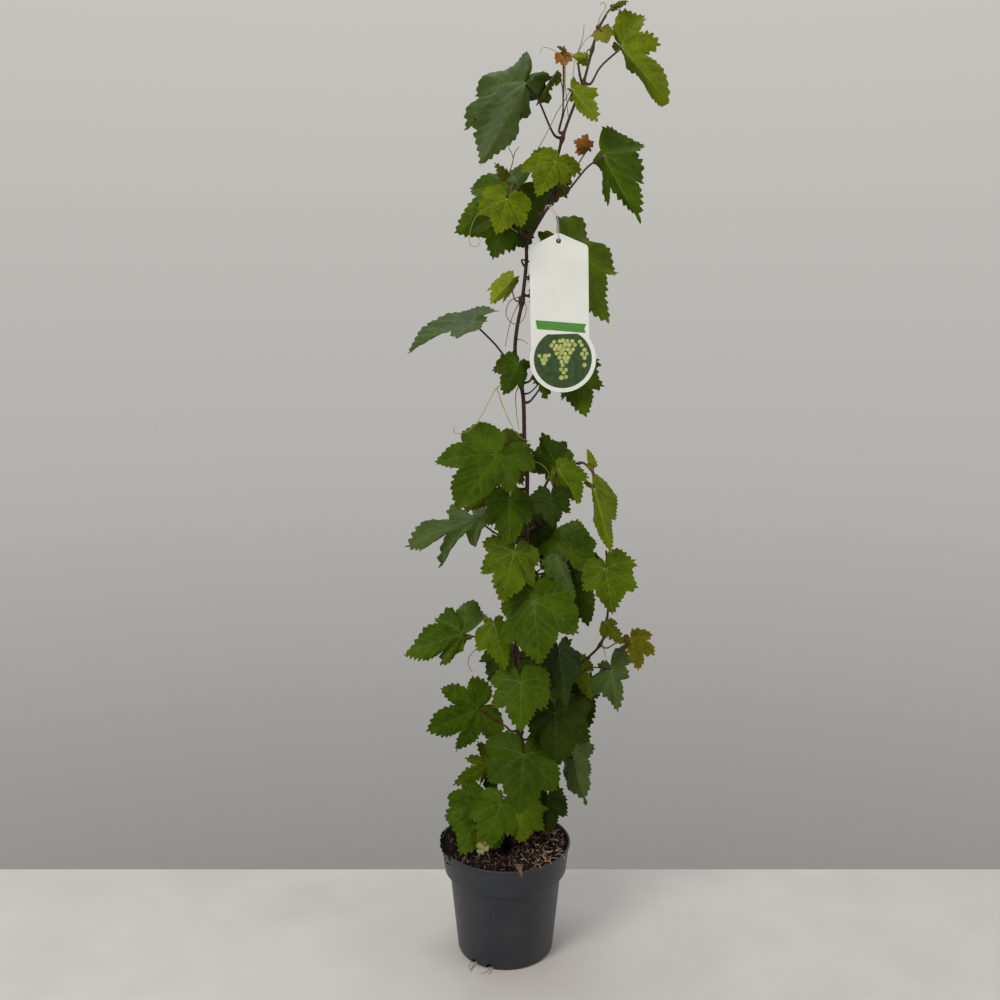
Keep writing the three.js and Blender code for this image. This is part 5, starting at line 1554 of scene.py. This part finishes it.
panel_radius = CARD_ROUND - PANEL_RIM
panel_lift = math.degrees(math.asin((PANEL_TOP + CARD_ROUND_DROP) / panel_radius))
panel_outline = arc(foot_middle, panel_radius, 180 - panel_lift, 360 + panel_lift, 44)
panel_mesh = card_piece(panel_outline, [], print_front, print_back, "card_panel")
panel_ink = grained("dark_green_ink", 0.4, 0.4, (160.0, 3.0), (44, 66, 34), (62, 84, 44))
add_piece("card_panel", panel_mesh, [panel_ink], "card")

DOT_PITCH = 5.4
DOT_ROW = DOT_PITCH * ROW_STEP
DOT_SIZE = 2.6
DOT_MARGIN = 0.7
BUNCHES = ((1, 21, 17, 46), (26, 20, 8, 30), (-22, 4, 7, 16))
dot_shape = bmesh.new()
dots = np.random.default_rng(5)
for middle, top, half_width, drop in BUNCHES:
    for row in range(int(drop / DOT_ROW) + 1):
        down = row / (drop / DOT_ROW)
        width = half_width * math.sqrt(max(0, 1 - down)) * (0.75 + 0.25 * math.sin(2.2 + 4 * down))
        for column in range(-4, 5):
            x = (column + 0.5 * (row % 2)) * DOT_PITCH
            place = np.array([x + middle, top - row * DOT_ROW]) + 0.5 * dots.normal(size=2)
            size = DOT_SIZE * (0.85 + 0.2 * dots.random())
            reach = size + DOT_MARGIN
            if abs(x) > width or np.linalg.norm(place) > panel_radius - reach:
                continue
            if place[1] - CARD_ROUND_DROP > PANEL_TOP - reach:
                continue
            level = print_front - 0.02 * ((row + column) % 3)
            spot = Matrix.Translation(Vector((
                place[0] + CARD_ROUND_SHIFT, level, place[1] - CARD_ROUND_DROP)) * MM)
            bmesh.ops.create_cone(
                dot_shape, cap_ends=True, segments=20, radius1=size * MM, radius2=size * MM,
                depth=0.24 * MM, matrix=spot @ Matrix.Rotation(math.pi / 2, 4, "X"))
bow_card(dot_shape)
dot_ink = grained("pale_green_ink", 0.4, 0.4, (260.0, 3.0), (158, 168, 88), (190, 196, 122))
add_piece("card_dots", mesh_from(dot_shape, "card_dots"), [dot_ink], "card")


# The string: thin pale two-ply string, looped round the stem above a knot and led down through the
# card's hole and back up behind it, which is what the card hangs by.
STRING_RADIUS = 0.5
PLY_RADIUS = 0.27
PLY_OFFSET = 0.24
RING_SLACK = 1.2
STRING_GAP = 1.6
STRING_HEIGHT = 949
PLY_TURN = 3.2
string_share = stem.share_at(STRING_HEIGHT)
string_middle = stem.point_at(string_share)
string_ring = float(stem.radius_at(string_share)) + STRING_RADIUS + RING_SLACK
hole_height = CARD_TOP[2] - CARD_HOLE_DROP
card_middle, card_back, _ = CARD_TOP
string_front = card_back - CARD_THICKNESS - STRING_GAP
string_back = card_back + STRING_GAP


def on_ring(turn):
    """A place on the loop round the stem, counted from its front."""
    x, y, _ = string_middle
    return [x + string_ring * math.sin(turn), y - string_ring * math.cos(turn), STRING_HEIGHT]


hanging = [
    on_ring(-0.5), [card_middle - 3, string_front, STRING_HEIGHT - 16],
    [card_middle - 1, string_front, hole_height + 9], [card_middle, string_front, hole_height + 1.5],
    [card_middle, card_back - CARD_THICKNESS / 2, hole_height - 0.4],
    [card_middle, string_back, hole_height + 1.5], [card_middle + 0.5, string_back - 0.4, hole_height + 9],
    [card_middle - 1, string_back - 2, STRING_HEIGHT - 16], on_ring(0.5),
]
looped = [on_ring(turn) for turn in np.linspace(0, 2 * math.pi, 17)]
ply_routes, ply_radii = [], []
for centre_line in (smooth_route(hanging, 0.7), smooth_route(looped, 0.5)):
    ahead = unit(np.gradient(centre_line, axis=0))
    beside = unit(np.cross(ahead, [0.31, 0.85, 0.42]))
    third = np.cross(ahead, beside)
    twist = np.arange(len(centre_line))[:, None] * 2 * math.pi * 0.6 / PLY_TURN
    for ply in (0, math.pi):
        around = beside * np.cos(twist + ply) + third * np.sin(twist + ply)
        ply_routes.append(centre_line + PLY_OFFSET * around)
        ply_radii.append(np.full(len(centre_line), PLY_RADIUS))
string_mesh = swept("card_string_ply", ply_routes, ply_radii, 6)
string_yarn = grained("pale_yarn", 0.85, 0.2, (1500.0, 2.0), (176, 172, 156), (222, 219, 206))
add_piece("card_string_ply", string_mesh, [string_yarn], "string", "card_string")
